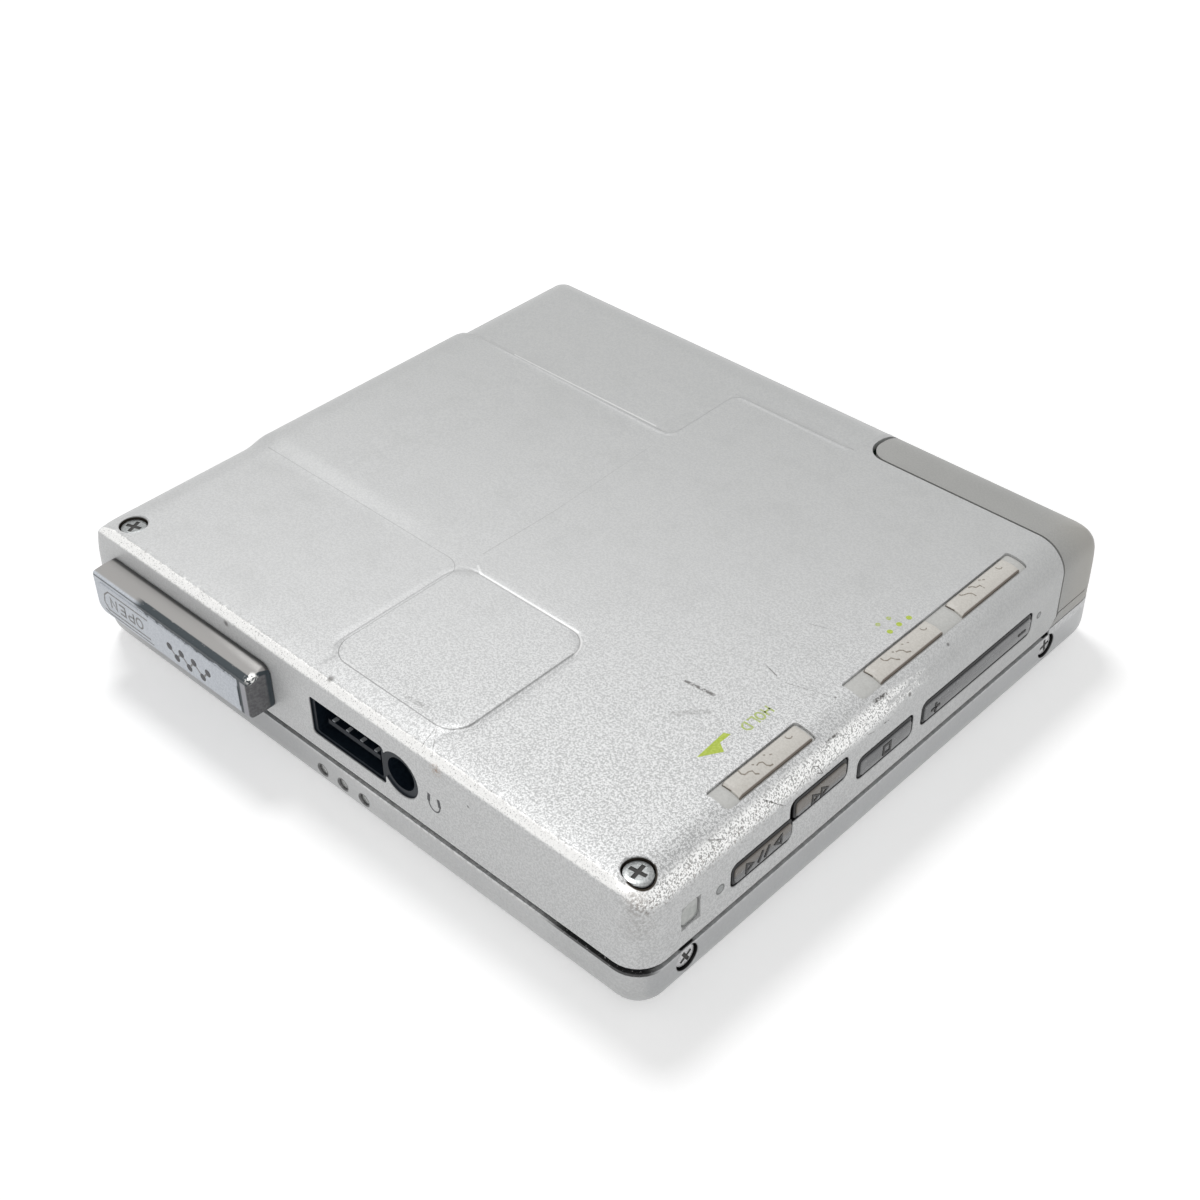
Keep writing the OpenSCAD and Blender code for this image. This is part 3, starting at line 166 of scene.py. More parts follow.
class Look(Nodes):
    """A procedural material. Positions and scales are in millimetres."""

    def __init__(self, name):
        self.material = bpy.data.materials.new(name)
        super().__init__(self.material)
        self.shader = self.add("BsdfPrincipled")
        self.add("OutputMaterial", self.shader.outputs[0])
        self.at = self.vector("SCALE", self.add("TexCoord").outputs["Object"], scale=1 / MM)
        self.x, self.y, self.z = self.add("SeparateXYZ", self.at).outputs

    def step(self, value, low, high):
        """0 below low and 1 above high, smooth in between; low may be above high."""
        if low < high:
            return self.ramp(value, low, high, kind="SMOOTHSTEP")
        return self.ramp(value, high, low, 1.0, 0.0, "SMOOTHSTEP")

    def band(self, value, low, high, soft):
        return self.times(self.step(value, low - soft, low + soft), self.step(value, high + soft, high - soft))

    def zone(self, x=None, y=None, z=None):
        """1 past a smooth step (from, to) along each axis that is given."""
        return self.times(*(self.step(axis, *ends) for axis, ends in ((self.x, x), (self.y, y), (self.z, z)) if ends))

    def within(self, soft, x=None, y=None, z=None):
        """1 between two values along each axis that is given, with soft ends."""
        pairs = ((self.x, x), (self.y, y), (self.z, z))
        return self.times(*(self.band(axis, *ends, soft) for axis, ends in pairs if ends))

    def times(self, *values):
        result = values[0]
        for value in values[1:]:
            result = self.math("MULTIPLY", result, value)
        return result

    def plus(self, *values):
        """The sum, never above 1."""
        result = values[0]
        for value in values[1:]:
            result = self.math("ADD", result, value, clamp=True)
        return result

    def blend(self, a, b, share):
        return self.plus(self.times(a, share), self.times(b, 1.0 - share))

    def noise(self, scale, detail=3.0, rough=0.6, stretch=None, shift=0.0):
        at = self.at
        if stretch:
            at = self.vector("MULTIPLY", at, stretch)
        if shift:
            at = self.vector("ADD", at, (shift, shift, shift))
        inputs = {"Vector": at, "Scale": scale, "Detail": detail, "Roughness": rough}
        return self.add("TexNoise", inputs=inputs).outputs["Fac"]

    def cloud(self, scale, detail=2.0, shift=0.0):
        """Soft, broad noise."""
        return self.noise(scale, detail, 0.5, shift=shift)

    def mix(self, amount, a, b):
        made = self.add("Mix", data_type="RGBA")
        for k, value in ((0, amount), (6, rgba(a)), (7, rgba(b))):
            self.put(made.inputs[k], value)
        return made.outputs[2]

    def over(self, base, tint, *amounts):
        """The base colour with a tint laid over it as strongly as all the amounts multiplied."""
        return self.mix(self.times(*amounts), base, tint)

    def scale_to(self, value, low, high):
        return self.math("ADD", self.math("MULTIPLY", value, high - low), low)

    def away(self, point):
        """Distance from a point or, where a coordinate is None, from the line along that axis."""
        if None not in point:
            return self.vector("DISTANCE", self.at, tuple(point))
        flat = self.vector("MULTIPLY", self.at, tuple(0.0 if v is None else 1.0 for v in point))
        return self.vector("DISTANCE", flat, tuple(v or 0.0 for v in point))

    def near(self, point, radius, soft):
        return self.step(self.away(point), radius + soft, radius - soft)

    def line(self, p, q, width):
        """1 along the segment from p to q, seen along the axis in which both are 0: Z if they have no third value."""
        p, q = Vector(p).to_3d(), Vector(q).to_3d()
        along = q - p
        rel = self.vector("SUBTRACT", self.at, tuple(p))
        flat = self.vector("MULTIPLY", rel, (1.0, 1.0, 0.0) if p.z == q.z == 0 else (0.0, 1.0, 1.0))
        share = self.math("DIVIDE", self.vector("DOT_PRODUCT", flat, tuple(along)), along.length_squared, clamp=True)
        foot = self.vector("SCALE", tuple(along), scale=share)
        return self.step(self.vector("DISTANCE", flat, foot), width, width * LINE_CORE)

    def arc(self, middle, radius, quarter, width):
        """1 along a quarter of a circle in X and Y; quarter gives the signs of X and Y from its middle."""
        ends = [(centre - 0.02 * sign, centre + 0.02 * sign) for centre, sign in zip(middle, quarter)]
        off = self.math("ABSOLUTE", self.math("SUBTRACT", self.away((*middle, None)), radius))
        return self.times(self.step(off, width, width * LINE_CORE), self.zone(*ends))

    def drawn(self, pieces):
        """Lines and arcs together, each with its strength as its last value."""
        return self.plus(*(self.times(getattr(self, kind)(*shape), strength) for kind, *shape, strength in pieces))

    def set(self, **values):
        for key, value in values.items():
            self.put(self.shader.inputs[SOCKETS[key]], rgba(value))
        return self

    def bump(self, height, distance):
        made = self.add("Bump", inputs={"Strength": 1.0, "Distance": distance * MM, "Height": height})
        self.put(self.shader.inputs["Normal"], made.outputs["Normal"])
        return self


def rgba(value):
    return (*value, 1.0) if isinstance(value, tuple) and len(value) == 3 else value


# Looks of single materials


def grained(name, dark, light, rough, metallic, scale, bump, specular=0.5):
    """A plain material with fine grain in colour, gloss and height."""
    look = Look(name)
    fine = look.noise(scale)
    tone = look.blend(fine, look.cloud(0.15, shift=7.0), 0.65)
    look.set(color=look.mix(look.step(tone, 0.3, 0.7), dark, light), metallic=metallic,
             rough=look.scale_to(fine, rough - 0.08, rough + 0.08), specular=specular)
    return look.bump(fine, bump)


def brushed(name, dark, light, rough, bump=0.004, stretch=None):
    """Bright metal with fine lines, stretched along one axis."""
    look = Look(name)
    lines = look.noise(6.0, stretch=stretch)
    tone = look.blend(lines, look.cloud(0.3, 3.0, shift=3.0), 0.7)
    look.set(color=look.mix(look.step(tone, 0.3, 0.7), dark, light), metallic=1.0,
             rough=look.scale_to(lines, rough - 0.07, rough + 0.09))
    return look.bump(lines, bump)


def ink(name, dark, light):
    look = Look(name)
    grain = look.noise(4.0)
    look.set(color=look.mix(look.step(grain, 0.4, 0.65), dark, light), rough=look.scale_to(grain, 0.4, 0.6))
    return look.bump(grain, 0.006)


def glassy(name, dark, light):
    look = Look(name)
    fine = look.noise(2.0)
    look.set(color=look.mix(look.step(fine, 0.3, 0.7), dark, light), rough=look.scale_to(fine, 0.1, 0.2), coat=0.5,
             coat_rough=0.08)
    return look.bump(fine, 0.003)


# The pressed contours of the cover in X and Y, with width and strength: fine dark lines of painted shade, and light
# stretches of painted highlight
CONTOUR_SHADE = [
    ("line", (-34.0, -15.3), (-5.4, -15.3), 0.07, 0.35), ("arc", (-5.4, -17.6), 2.3, (1, 1), 0.07, 0.4),
    ("line", (-3.1, -17.6), (-3.1, -30.4), 0.07, 0.4), ("arc", (-0.5, -30.4), 2.6, (-1, -1), 0.08, 0.7),
    ("line", (-0.5, -33.0), (11.6, -33.0), 0.09, 0.75), ("arc", (11.6, -30.4), 2.6, (1, -1), 0.09, 0.75),
    ("line", (14.2, -30.4), (14.2, -17.8), 0.08, 0.6), ("arc", (11.6, -17.8), 2.6, (1, 1), 0.08, 0.5),
    ("line", (11.6, -15.2), (-1.0, -15.2), 0.08, 0.5), ("line", (-3.2, -12.6), (-3.0, -2.7), 0.08, 0.28),
    ("line", (-3.0, -2.7), (-3.6, 13.0), 0.07, 0.2),
    ("line", (-29.0, 15.95), (-5.0, 15.95), 0.08, 0.45), ("arc", (-5.0, 17.6), 1.65, (1, -1), 0.08, 0.45),
    ("line", (-3.4, 17.6), (-3.4, 25.2), 0.08, 0.4), ("arc", (-1.6, 25.2), 1.8, (-1, 1), 0.08, 0.4),
    ("line", (-1.6, 27.0), (13.0, 27.0), 0.08, 0.4),
]
CONTOUR_HIGHLIGHTS = [("line", (12.2, -15.0), (-1.0, -15.0), 0.2, 0.9), ("arc", (11.6, -17.6), 2.6, (1, 1), 0.17, 0.8),
          ("line", (-1.0, -15.0), (-2.2, -14.3), 0.17, 0.5), ("line", (-28.0, 16.3), (-6.0, 16.3), 0.17, 0.5)]

# Marks and scratches, with width and strength: on the top in X and Y, on the rounded edge in Y and Z
TOP_MARKS = (
    ((24.4, -13.3), (27.5, -13.0), 0.26, 0.85), ((26.4, -17.5), (28.6, -15.0), 0.5, 0.25),
    ((28.5, -6.6), (30.1, -7.1), 0.08, 0.8), ((31.2, -7.3), (35.0, -6.1), 0.06, 0.55),
    ((32.9, -13.4), (35.4, -14.2), 0.06, 0.4), ((12.8, -35.5), (12.2, -33.4), 0.07, 0.6),
    ((12.3, -33.3), (14.4, -35.8), 0.07, 0.6), ((7.4, -32.3), (9.7, -32.0), 0.4, 0.3),
    ((27.5, 0.8), (29.4, 1.5), 0.07, 0.4), ((22.0, -15.0), (24.5, -11.0), 0.06, 0.3),
)
EDGE_MARKS = (
    ((-19.32, 14.76), (-18.62, 14.22), 0.12, 1.0), ((-18.62, 14.22), (-17.16, 12.98), 0.07, 0.9),
    ((-12.76, 14.32), (-12.25, 14.05), 0.07, 0.9), ((-12.25, 14.05), (-11.85, 13.1), 0.07, 0.9),
    ((-11.85, 13.1), (-12.6, 13.6), 0.07, 0.9), ((-12.6, 13.6), (-12.76, 14.32), 0.07, 0.8),
    ((-10.2, 15.07), (-8.6, 15.04), 0.12, 0.9), ((-3.05, 15.12), (-1.35, 15.04), 0.17, 1.0),
    ((-11.1, 13.43), (-8.1, 13.49), 0.06, 0.6), ((-26.5, 15.1), (-24.9, 14.41), 0.08, 0.7),
    ((-2.7, 12.95), (-2.05, 12.9), 0.1, 0.9), ((-5.2, 13.19), (-4.25, 12.96), 0.06, 0.7),
)
# Dark spots with their radius
SPOTS = (
    ((-34.6, 2.7, 15.0), 0.35), ((0.0, -35.2, 15.9), 0.3), ((-15.0, -36.0, 14.6), 0.3), ((39.23, 1.34, 13.72), 0.2),
    ((38.45, 8.35, 14.95), 0.16), ((35.85, -5.8, 16.0), 0.12), ((18.93, -35.95, 12.8), 0.13),
)


def paint_with_shade(look, grain, fine):
    """Mottled silver, with painted shade towards the hinge, and coarser with painted sparkle towards the front corner
    of the control side.
    """
    # Painted shade: the top darkens towards the hinge, with some random tone in it
    shade_and_tone = look.step(look.math("SUBTRACT", look.y, look.math("MULTIPLY", look.x, 0.35)), -32.0, 38.0)
    shade_and_tone = look.plus(shade_and_tone, look.times(look.step(look.cloud(0.3, 3.0, shift=2.0), 0.45, 0.75), 0.2))
    dark = look.mix(shade_and_tone, (0.555, 0.56, 0.56), (0.455, 0.462, 0.462))
    light = look.mix(shade_and_tone, (0.635, 0.64, 0.64), (0.505, 0.51, 0.505))
    paint = look.mix(look.step(look.blend(grain, fine, 0.65), 0.42, 0.58), dark, light)
    # Painted sparkle: crisp bright flecks near the front corner, strongest where the painted shade is least
    crisp = look.step(look.blend(grain, fine, 0.5), 0.45, 0.55)
    coarse = look.mix(crisp, (0.42, 0.425, 0.425), (0.79, 0.795, 0.795))
    corner = look.step(look.math("SUBTRACT", look.x, look.y), 10.0, 66.0)
    height = look.scale_to(look.zone(z=(14.6, 15.6)), 0.25, 1.0)
    return look.over(paint, coarse, corner, height, look.step(shade_and_tone, 0.9, 0.3))


def worn_metal_and_highlight(look, fine, fleck):
    """Where the paint is worn off along the control side and the front, less towards the hinge, and its colour; the
    white line on the front edge and its corner is partly a painted highlight.
    """
    patchy = look.noise(0.9, 4.0, 0.75, stretch=(2.0, 0.6, 2.0), shift=1.0)
    worn = look.plus(look.times(patchy, 0.6), look.times(look.zone(y=(17.0, -12.0)), 0.42))
    control = look.times(look.zone(x=(37.9, 38.7), z=(12.9, 14.0)), look.step(worn, 0.44, 0.66))
    worn = look.plus(look.times(patchy, 0.4), look.times(look.zone(y=(-35.2, -35.6)), 0.4))
    front = look.times(look.zone(y=(-34.7, -35.3), z=(14.8, 15.3)), look.step(worn, 0.2, 0.34))
    tip = look.near((38.2, -35.1, 15.3), 1.3, 0.6)
    metal = look.mix(fleck, (0.36, 0.36, 0.355), (0.96, 0.96, 0.95))
    # The front edge and corner are whitened, partly by wear and partly as a painted highlight
    metal = look.over(metal, (0.90, 0.895, 0.88), look.plus(front, tip), look.step(fine, 0.35, 0.5))
    return look.plus(control, front, tip), metal


def gritty(look, colour, grit):
    """Brown grit in the worn edges, thickest at the front corner."""
    corner = look.near((38.8, -35.5, 14.3), 1.1, 1.1)
    below = look.times(look.near((39.1, -35.9, 11.6), 1.6, 1.6), 0.4)
    side = look.times(look.within(0.5, z=(13.0, 14.6)), look.zone(x=(38.4, 38.9), y=(-9.0, -20.0)), 0.9)
    front = look.times(look.within(0.25, y=(-35.6, -34.8)), look.zone(z=(14.4, 15.0)), 0.35)
    thick = look.times(look.plus(corner, below), look.step(grit, 0.42, 0.56))
    thin = look.times(look.plus(side, front), look.step(grit, 0.55, 0.62), 0.8)
    return look.over(colour, (0.13, 0.10, 0.08), look.plus(thick, thin), 0.85)


def scratched(look, colour):
    flat, edge = look.zone(z=(15.5, 15.8)), look.zone(x=(36.8, 37.2))
    lines = [look.times(look.line(p, q, width), flat, strength) for p, q, width, strength in TOP_MARKS]
    lines += [look.times(look.line((0, *p), (0, *q), width), edge, strength) for p, q, width, strength in EDGE_MARKS]
    broken = look.step(look.noise(2.6, rough=0.7, shift=14.0), 0.42, 0.52)
    lines = look.times(look.plus(*lines), look.scale_to(broken, 0.25, 1.0))
    spots = [look.times(look.near(point, radius, radius * 0.6), 0.75) for point, radius in SPOTS]
    return look.over(colour, (0.09, 0.085, 0.08), look.plus(lines, *spots))


def painted_gap_shade(look, colour, grit):
    """Painted shade: rings round the screws, mixed with brown grit, the walls inside the openings, and lines round
    the lamp and the two small points.
    """
    for x, y, _ in COVER_SCREWS:
        # Painted shade in the gap round each head, mixed with brown grit
        ring = look.times(look.step(look.away((x, y, None)), 1.66, 1.58), look.zone(z=(15.78, 15.7)))
        colour = look.over(colour, look.mix(grit, (0.01, 0.01, 0.01), (0.07, 0.055, 0.04)), ring)
    # Painted shade on the walls inside the openings of the front and of the control side
    colour = look.over(colour, (0.01, 0.014, 0.02), look.zone(y=(-35.9, -35.8)), look.zone(y=(-30.0, -31.0)),
                       look.within(0.1, x=(-3.4, 12.6), z=(7.4, 13.2)))
    colour = look.over(colour, (0.012, 0.012, 0.013), look.zone(x=(39.4, 39.34)), look.zone(x=(37.5, 37.8)),
                       look.within(0.05, y=(-26.0, 22.7), z=(7.85, 12.75)))
    # Painted shade round the lamp and at the foot of the small points
    outer = look.zone(x=(39.2, 39.3))
    lines = [look.times(look.within(0.03, y=(-30.83, -28.37), z=(8.02, 10.83)), outer, 0.7)]
    for y, z, radius in POINTS:
        lines.append(look.times(look.step(look.away((None, y, z)), radius + 0.2, radius + 0.1), outer))
    return look.over(colour, (0.06, 0.06, 0.06), look.plus(*lines), 0.8)


def cover_paint():
    look = Look("cover_paint")
    grain = look.noise(4.2, rough=0.65)
    fine = look.noise(8.0, 2.0, shift=11.0)
    fleck = look.step(look.noise(5.5, rough=0.65, shift=4.0), 0.42, 0.52)
    grit = look.noise(3.0, 4.0, 0.75, shift=9.0)
    worn_and_highlit, metal = worn_metal_and_highlight(look, fine, fleck)
    colour = look.mix(worn_and_highlit, paint_with_shade(look, grain, fine), metal)
    colour = gritty(look, colour, grit)
    # Painted highlights on some pressed edges, and painted shade as fine dark lines along the contours
    for lines, tint in ((CONTOUR_HIGHLIGHTS, (0.90, 0.90, 0.895)), (CONTOUR_SHADE, (0.20, 0.20, 0.20))):
        colour = look.over(colour, tint, look.drawn(lines), look.zone(z=(15.2, 15.5)))
    colour = scratched(look, colour)
    colour = painted_gap_shade(look, colour, grit)
    rust = look.times(look.near((14.9, -35.95, 14.6), 0.35, 0.75), look.step(grit, 0.42, 0.55))
    colour = look.over(colour, (0.30, 0.17, 0.09), rust, 0.9)
    look.set(color=colour, metallic=look.scale_to(worn_and_highlit, 0.25, 0.9),
             rough=look.math("SUBTRACT", look.scale_to(grain, 0.36, 0.5), look.times(worn_and_highlit, 0.1)))
    height = look.plus(look.times(grain, 0.6), look.times(fine, 0.2), look.times(worn_and_highlit, -0.15),
                       look.times(fleck, worn_and_highlit, 0.15))
    return look.bump(height, 0.035)


def lid_paint():
    look = Look("lid_paint")
    grain = look.noise(4.5)
    tone = look.blend(grain, look.cloud(0.08, shift=5.0), 0.6)
    paint = look.mix(look.step(tone, 0.35, 0.65), (0.50, 0.505, 0.505), (0.60, 0.605, 0.605))
    scuff = look.step(look.noise(1.2, 4.0, 0.75, stretch=(1.0, 1.0, 3.0), shift=3.0), 0.6, 0.7)
    rim = look.times(look.zone(z=(4.9, 5.3)), look.step(look.noise(2.0, rough=0.7, shift=8.0), 0.4, 0.55))
    paint = look.over(paint, (0.78, 0.78, 0.78), look.plus(look.times(scuff, 0.5), rim))
    speck = look.step(look.noise(1.6, 4.0, 0.8, shift=12.0), 0.68, 0.72)
    paint = look.over(paint, (0.2, 0.18, 0.16), speck, 0.5)
    # Painted shade: the control side and the left part of the front are darker
    paint = look.over(paint, (0.40, 0.41, 0.42), look.zone(x=(38.6, 39.2)), 0.5)
    paint = look.over(paint, (0.40, 0.405, 0.41), look.zone(x=(6.0, -12.0), y=(-35.3, -35.8)), 0.75)
    # Painted shade in the seam: the rim is coloured glossy black at the front corner
    black = look.times(look.zone(x=(26.0, 31.0), y=(-33.0, -34.6), z=(5.0, 5.1)), look.step(grain, 0.3, 0.36))
    paint = look.over(paint, (0.012, 0.012, 0.013), black, 0.95)
    # Painted shade: dark rings on the walls of the holes round the screws and the contacts
    recess = look.step(look.math("ABSOLUTE", look.x), 39.42, 39.3)
    for y, _ in LID_SCREWS:
        ring = look.step(look.away((None, y, LID_SCREW_Z)), 1.8, 1.66)
        paint = look.over(paint, (0.012, 0.012, 0.012), ring, recess)
    for x in CONTACT_X:
        ring = look.step(look.away((x, None, CONTACT_Z)), 0.86, 0.74)
        tint = look.mix(grain, (0.03, 0.03, 0.03), (0.25, 0.25, 0.25))
        paint = look.over(paint, tint, ring, look.zone(y=(-30.0, -31.0)))
    look.set(color=paint, metallic=0.35, rough=look.scale_to(grain, 0.28, 0.4))
    return look.bump(grain, 0.015)


def slider_paint():
    look = Look("slider_paint")
    grain = look.noise(5.0)
    paint = look.mix(look.step(grain, 0.35, 0.65), (0.50, 0.53, 0.575), (0.60, 0.63, 0.675))
    # The top is a darker, browner grey than the face, and painted shade darkens it where it meets the wall
    paint = look.over(paint, (0.38, 0.37, 0.36), look.zone(y=(-38.4, -38.15), z=(11.6, 11.8)))
    paint = look.over(paint, (0.05, 0.05, 0.05), look.zone(y=(-36.5, -36.2), z=(11.0, 11.5)))
    # Its front edge carries a thin dark line that widens into a ragged worn band
    rub = look.noise(1.1, 4.0, 0.7, stretch=(1.0, 2.5, 2.5), shift=2.0)
    ragged = look.math("ADD", look.z, look.scale_to(rub, -0.45, 0.45))
    band = look.times(look.band(ragged, 11.62, 12.42, 0.08), look.zone(x=(-27.6, -26.0), y=(-37.8, -37.95)))
    edge = look.plus(band, look.times(look.within(0.06, z=(11.9, 12.08)), look.zone(y=(-38.0, -38.2))))
    # The leaning right end is darkened as painted shade, with a painted shade line and a darker strip before it,
    # painted shade along its top and inner edges, and painted glints at its upper corner
    end = look.step(look.math("SUBTRACT", look.x, look.math("MULTIPLY", look.y, LEAN)), 0.52, 0.62)
    before = look.zone(x=(-10.75, -10.6), y=(-38.2, -38.4))
    black = look.times(before, look.zone(x=(-10.15, -10.35)))
    rim = look.plus(look.times(end, look.zone(z=(12.05, 12.25))), look.times(end, look.zone(y=(-36.7, -36.4))))
    paint = look.over(paint, (0.26, 0.25, 0.27), before, 0.75)
    paint = look.over(paint, look.mix(look.step(rub, 0.4, 0.6), (0.10, 0.10, 0.105), (0.15, 0.15, 0.155)), end)
    paint = look.over(paint, (0.03, 0.042, 0.05), look.plus(edge, black, rim))
    glint = look.times(look.near((-9.15, -37.9, 12.2), 0.6, 0.25), look.step(look.noise(2.2, shift=21.0), 0.5, 0.55))
    paint = look.over(paint, (0.95, 0.95, 0.93), glint)
    look.set(color=paint, metallic=look.scale_to(glint, 0.2, 1.0), rough=look.scale_to(grain, 0.32, 0.44))
    return look.bump(grain, 0.012)


def key_plastic():
    look = Look("key_plastic")
    fine = look.noise(3.0)
    smear = look.noise(0.35, stretch=(1.0, 1.0, 3.0), shift=4.0)
    colour = look.mix(look.step(smear, 0.35, 0.65), (0.08, 0.082, 0.086), (0.12, 0.122, 0.126))
    # Painted reflection: the two front keys are tinted warm along their upper half
    warm_reflection = look.plus(look.times(look.zone(y=(-16.0, -15.6)), look.zone(y=(-7.7, -8.0), z=(10.5, 10.9))),
                     look.zone(y=(-15.7, -16.1), z=(9.0, 9.5)))
    colour = look.over(colour, (0.125, 0.105, 0.083), warm_reflection, 0.8)
    colour = look.over(colour, (0.30, 0.30, 0.30), look.step(fine, 0.62, 0.7), 0.35)
    look.set(color=colour, metallic=0.2, rough=look.scale_to(fine, 0.18, 0.32), coat=0.5, coat_rough=0.12)
    return look.bump(smear, 0.01)


def door_plastic():
    look = Look("door_plastic")
    grain = look.noise(6.0)
    tone = look.blend(grain, look.cloud(0.12, shift=3.0), 0.7)
    colour = look.mix(look.step(tone, 0.35, 0.65), (0.35, 0.35, 0.34), (0.41, 0.41, 0.395))
    # Yellowed towards the outer corner
    colour = look.over(colour, (0.45, 0.435, 0.40), look.zone(x=(33.5, 38.5), y=(27.0, 33.0)), 0.7)
    look.set(color=colour, metallic=0.0, rough=look.scale_to(grain, 0.42, 0.56))
    return look.bump(grain, 0.014)


def knob_plastic():
    look = Look("knob_plastic")
    grain = look.noise(5.0)
    grime = look.step(look.noise(0.9, 4.0, 0.7, shift=5.0), 0.55, 0.72)
    colour = look.mix(look.step(grain, 0.35, 0.65), (0.61, 0.585, 0.54), (0.68, 0.655, 0.61))
    colour = look.over(colour, (0.48, 0.44, 0.39), grime, 0.25)
    # Painted shade along the long sides and on the end faces, in dark brown
    side = look.plus(look.zone(x=(37.38, 37.44)), look.times(look.zone(x=(35.46, 35.42)), 0.6),
                     look.zone(x=(36.6, 36.4), z=(15.93, 15.86)))
    colour = look.over(colour, (0.13, 0.10, 0.075), side, 0.9)
    look.set(color=colour, rough=look.scale_to(grain, 0.36, 0.5))
    return look.bump(grain, 0.012)


def dull_contact():
    """Dark springs with light tips."""
    look = Look("dull_contact")
    fine = look.noise(3.0)
    colour = look.mix(fine, (0.015, 0.02, 0.03), (0.05, 0.06, 0.08))
    light_tip = look.mix(fine, (0.40, 0.42, 0.45), (0.60, 0.62, 0.64))
    look.set(color=look.over(colour, light_tip, look.zone(y=(TIPS + 0.1, TIPS))), metallic=0.5,
             rough=look.scale_to(fine, 0.3, 0.45))
    return look.bump(fine, 0.01)


def frame_plastic():
    """Black inside; its edge that shows in the seam of the control side is grey."""
    look = Look("frame_plastic")
    fine = look.noise(3.5)
    colour = look.mix(fine, (0.008, 0.008, 0.009), (0.025, 0.025, 0.027))
    grey = look.mix(fine, (0.16, 0.165, 0.165), (0.26, 0.265, 0.265))
    colour = look.over(colour, grey, look.zone(x=(38.7, 38.95), y=(-34.0, -31.5), z=(6.6, 6.4)))
    look.set(color=colour, rough=look.scale_to(fine, 0.12, 0.3), specular=0.25)
    return look.bump(fine, 0.01)


# Dark colour, light colour, roughness, metallic, scale of the grain, its height in mm and the specular level
GRAINED = {
    # The key bodies are near-black as painted shade in the gaps round the key faces
    "key_black": ((0.003, 0.003, 0.0035), (0.01, 0.01, 0.011), 0.3, 0.0, 3.0, 0.01, 0.25),
    "socket_plastic": ((0.004, 0.007, 0.012), (0.011, 0.017, 0.025), 0.36, 0.0, 3.0, 0.01, 0.2),
    "cross_dirt": ((0.008, 0.008, 0.008), (0.03, 0.027, 0.024), 0.6, 0.0, 3.0, 0.01),
    "black_plastic": ((0.012, 0.012, 0.013), (0.03, 0.03, 0.032), 0.32, 0.0, 3.5, 0.012),
    "board_green": ((0.012, 0.09, 0.04), (0.03, 0.16, 0.075), 0.35, 0.0, 1.2, 0.01),
    "battery_wrap": ((0.07, 0.10, 0.19), (0.11, 0.15, 0.26), 0.3, 0.0, 0.8, 0.01),
    "damper_rubber": ((0.012, 0.012, 0.012), (0.03, 0.03, 0.03), 0.7, 0.0, 4.0, 0.02),
    "gear_plastic": ((0.66, 0.63, 0.54), (0.76, 0.73, 0.64), 0.45, 0.0, 3.0, 0.01),
    "pickup_alloy": ((0.16, 0.16, 0.17), (0.27, 0.27, 0.28), 0.5, 0.7, 2.5, 0.03),
    "slot_floor": ((0.52, 0.52, 0.50), (0.62, 0.62, 0.60), 0.5, 0.0, 4.0, 0.01),
}
# Dark colour, light colour, roughness, height of the lines in mm and how they are stretched
BRUSHED = {
    "worn_contact": ((0.30, 0.31, 0.30), (0.72, 0.72, 0.71), 0.35, 0.01),
    "cover_screw": ((0.20, 0.21, 0.21), (0.38, 0.39, 0.39), 0.34, 0.01),
    "screw_steel": ((0.42, 0.42, 0.43), (0.72, 0.72, 0.72), 0.3, 0.006),
    "sheet_steel": ((0.52, 0.52, 0.53), (0.68, 0.68, 0.69), 0.32, 0.004, (0.15, 1.0, 1.0)),
    "rod_steel": ((0.62, 0.62, 0.63), (0.78, 0.78, 0.79), 0.2, 0.002, (1.0, 0.2, 1.0)),
    "gold_contact": ((0.62, 0.46, 0.20), (0.82, 0.63, 0.32), 0.24),
    "bearing_brass": ((0.5, 0.36, 0.15), (0.68, 0.52, 0.26), 0.3),
}
# Dark and light colour
GLASSY = {
    "lens_plastic": ((0.40, 0.42, 0.40), (0.52, 0.53, 0.51)),
    "lens_glass": ((0.16, 0.22, 0.42), (0.30, 0.38, 0.62)),
}
INKS = {
    "key_print": ((0.012, 0.012, 0.013), (0.05, 0.048, 0.045)),
    "green_print": ((0.42, 0.54, 0.045), (0.54, 0.65, 0.10)),
    "worn_print": ((0.44, 0.54, 0.14), (0.52, 0.57, 0.34)),
    "grey_print": ((0.20, 0.20, 0.20), (0.32, 0.32, 0.32)),
    # The knobs' low ridges are coloured dark as painted shade
    "knob_line": ((0.24, 0.21, 0.17), (0.40, 0.36, 0.31)),
    "dark_print": ((0.05, 0.05, 0.055), (0.09, 0.09, 0.095)),
}
SINGLE = (cover_paint, lid_paint, slider_paint, door_plastic, knob_plastic, key_plastic, frame_plastic, dull_contact)
LOOKS = {build.__name__: build() for build in SINGLE}
for build, table in ((grained, GRAINED), (brushed, BRUSHED), (glassy, GLASSY), (ink, INKS)):
    LOOKS.update({name: build(name, *values) for name, values in table.items()})


# Mesh helpers


def pad(x0, x1, y0, y1, r, n=7):
    """Points round a rectangle with rounded corners, anticlockwise from the far corner; r may hold four radii."""
    radii = r if isinstance(r, tuple) else (r,) * 4
    points = []
    corners = ((x1, y1, -1, -1), (x0, y1, 1, -1), (x0, y0, 1, 1), (x1, y0, -1, 1))
    for (cx, cy, sx, sy), radius, start in zip(corners, radii, (0, 90, 180, 270)):
        for k in range(n + 1):
            t = math.radians(start + 90 * k / n)
            points.append((cx + sx * radius + radius * math.cos(t), cy + sy * radius + radius * math.sin(t)))
    return points


def disc(cx, cy, r, n=40):
    return [(cx + r * math.cos(2 * math.pi * k / n), cy + r * math.sin(2 * math.pi * k / n)) for k in range(n)]


def bow(cx, cy, rx, ry, degrees):
    """Points on an ellipse."""
    return [(cx + rx * math.cos(math.radians(t)), cy + ry * math.sin(math.radians(t))) for t in degrees]


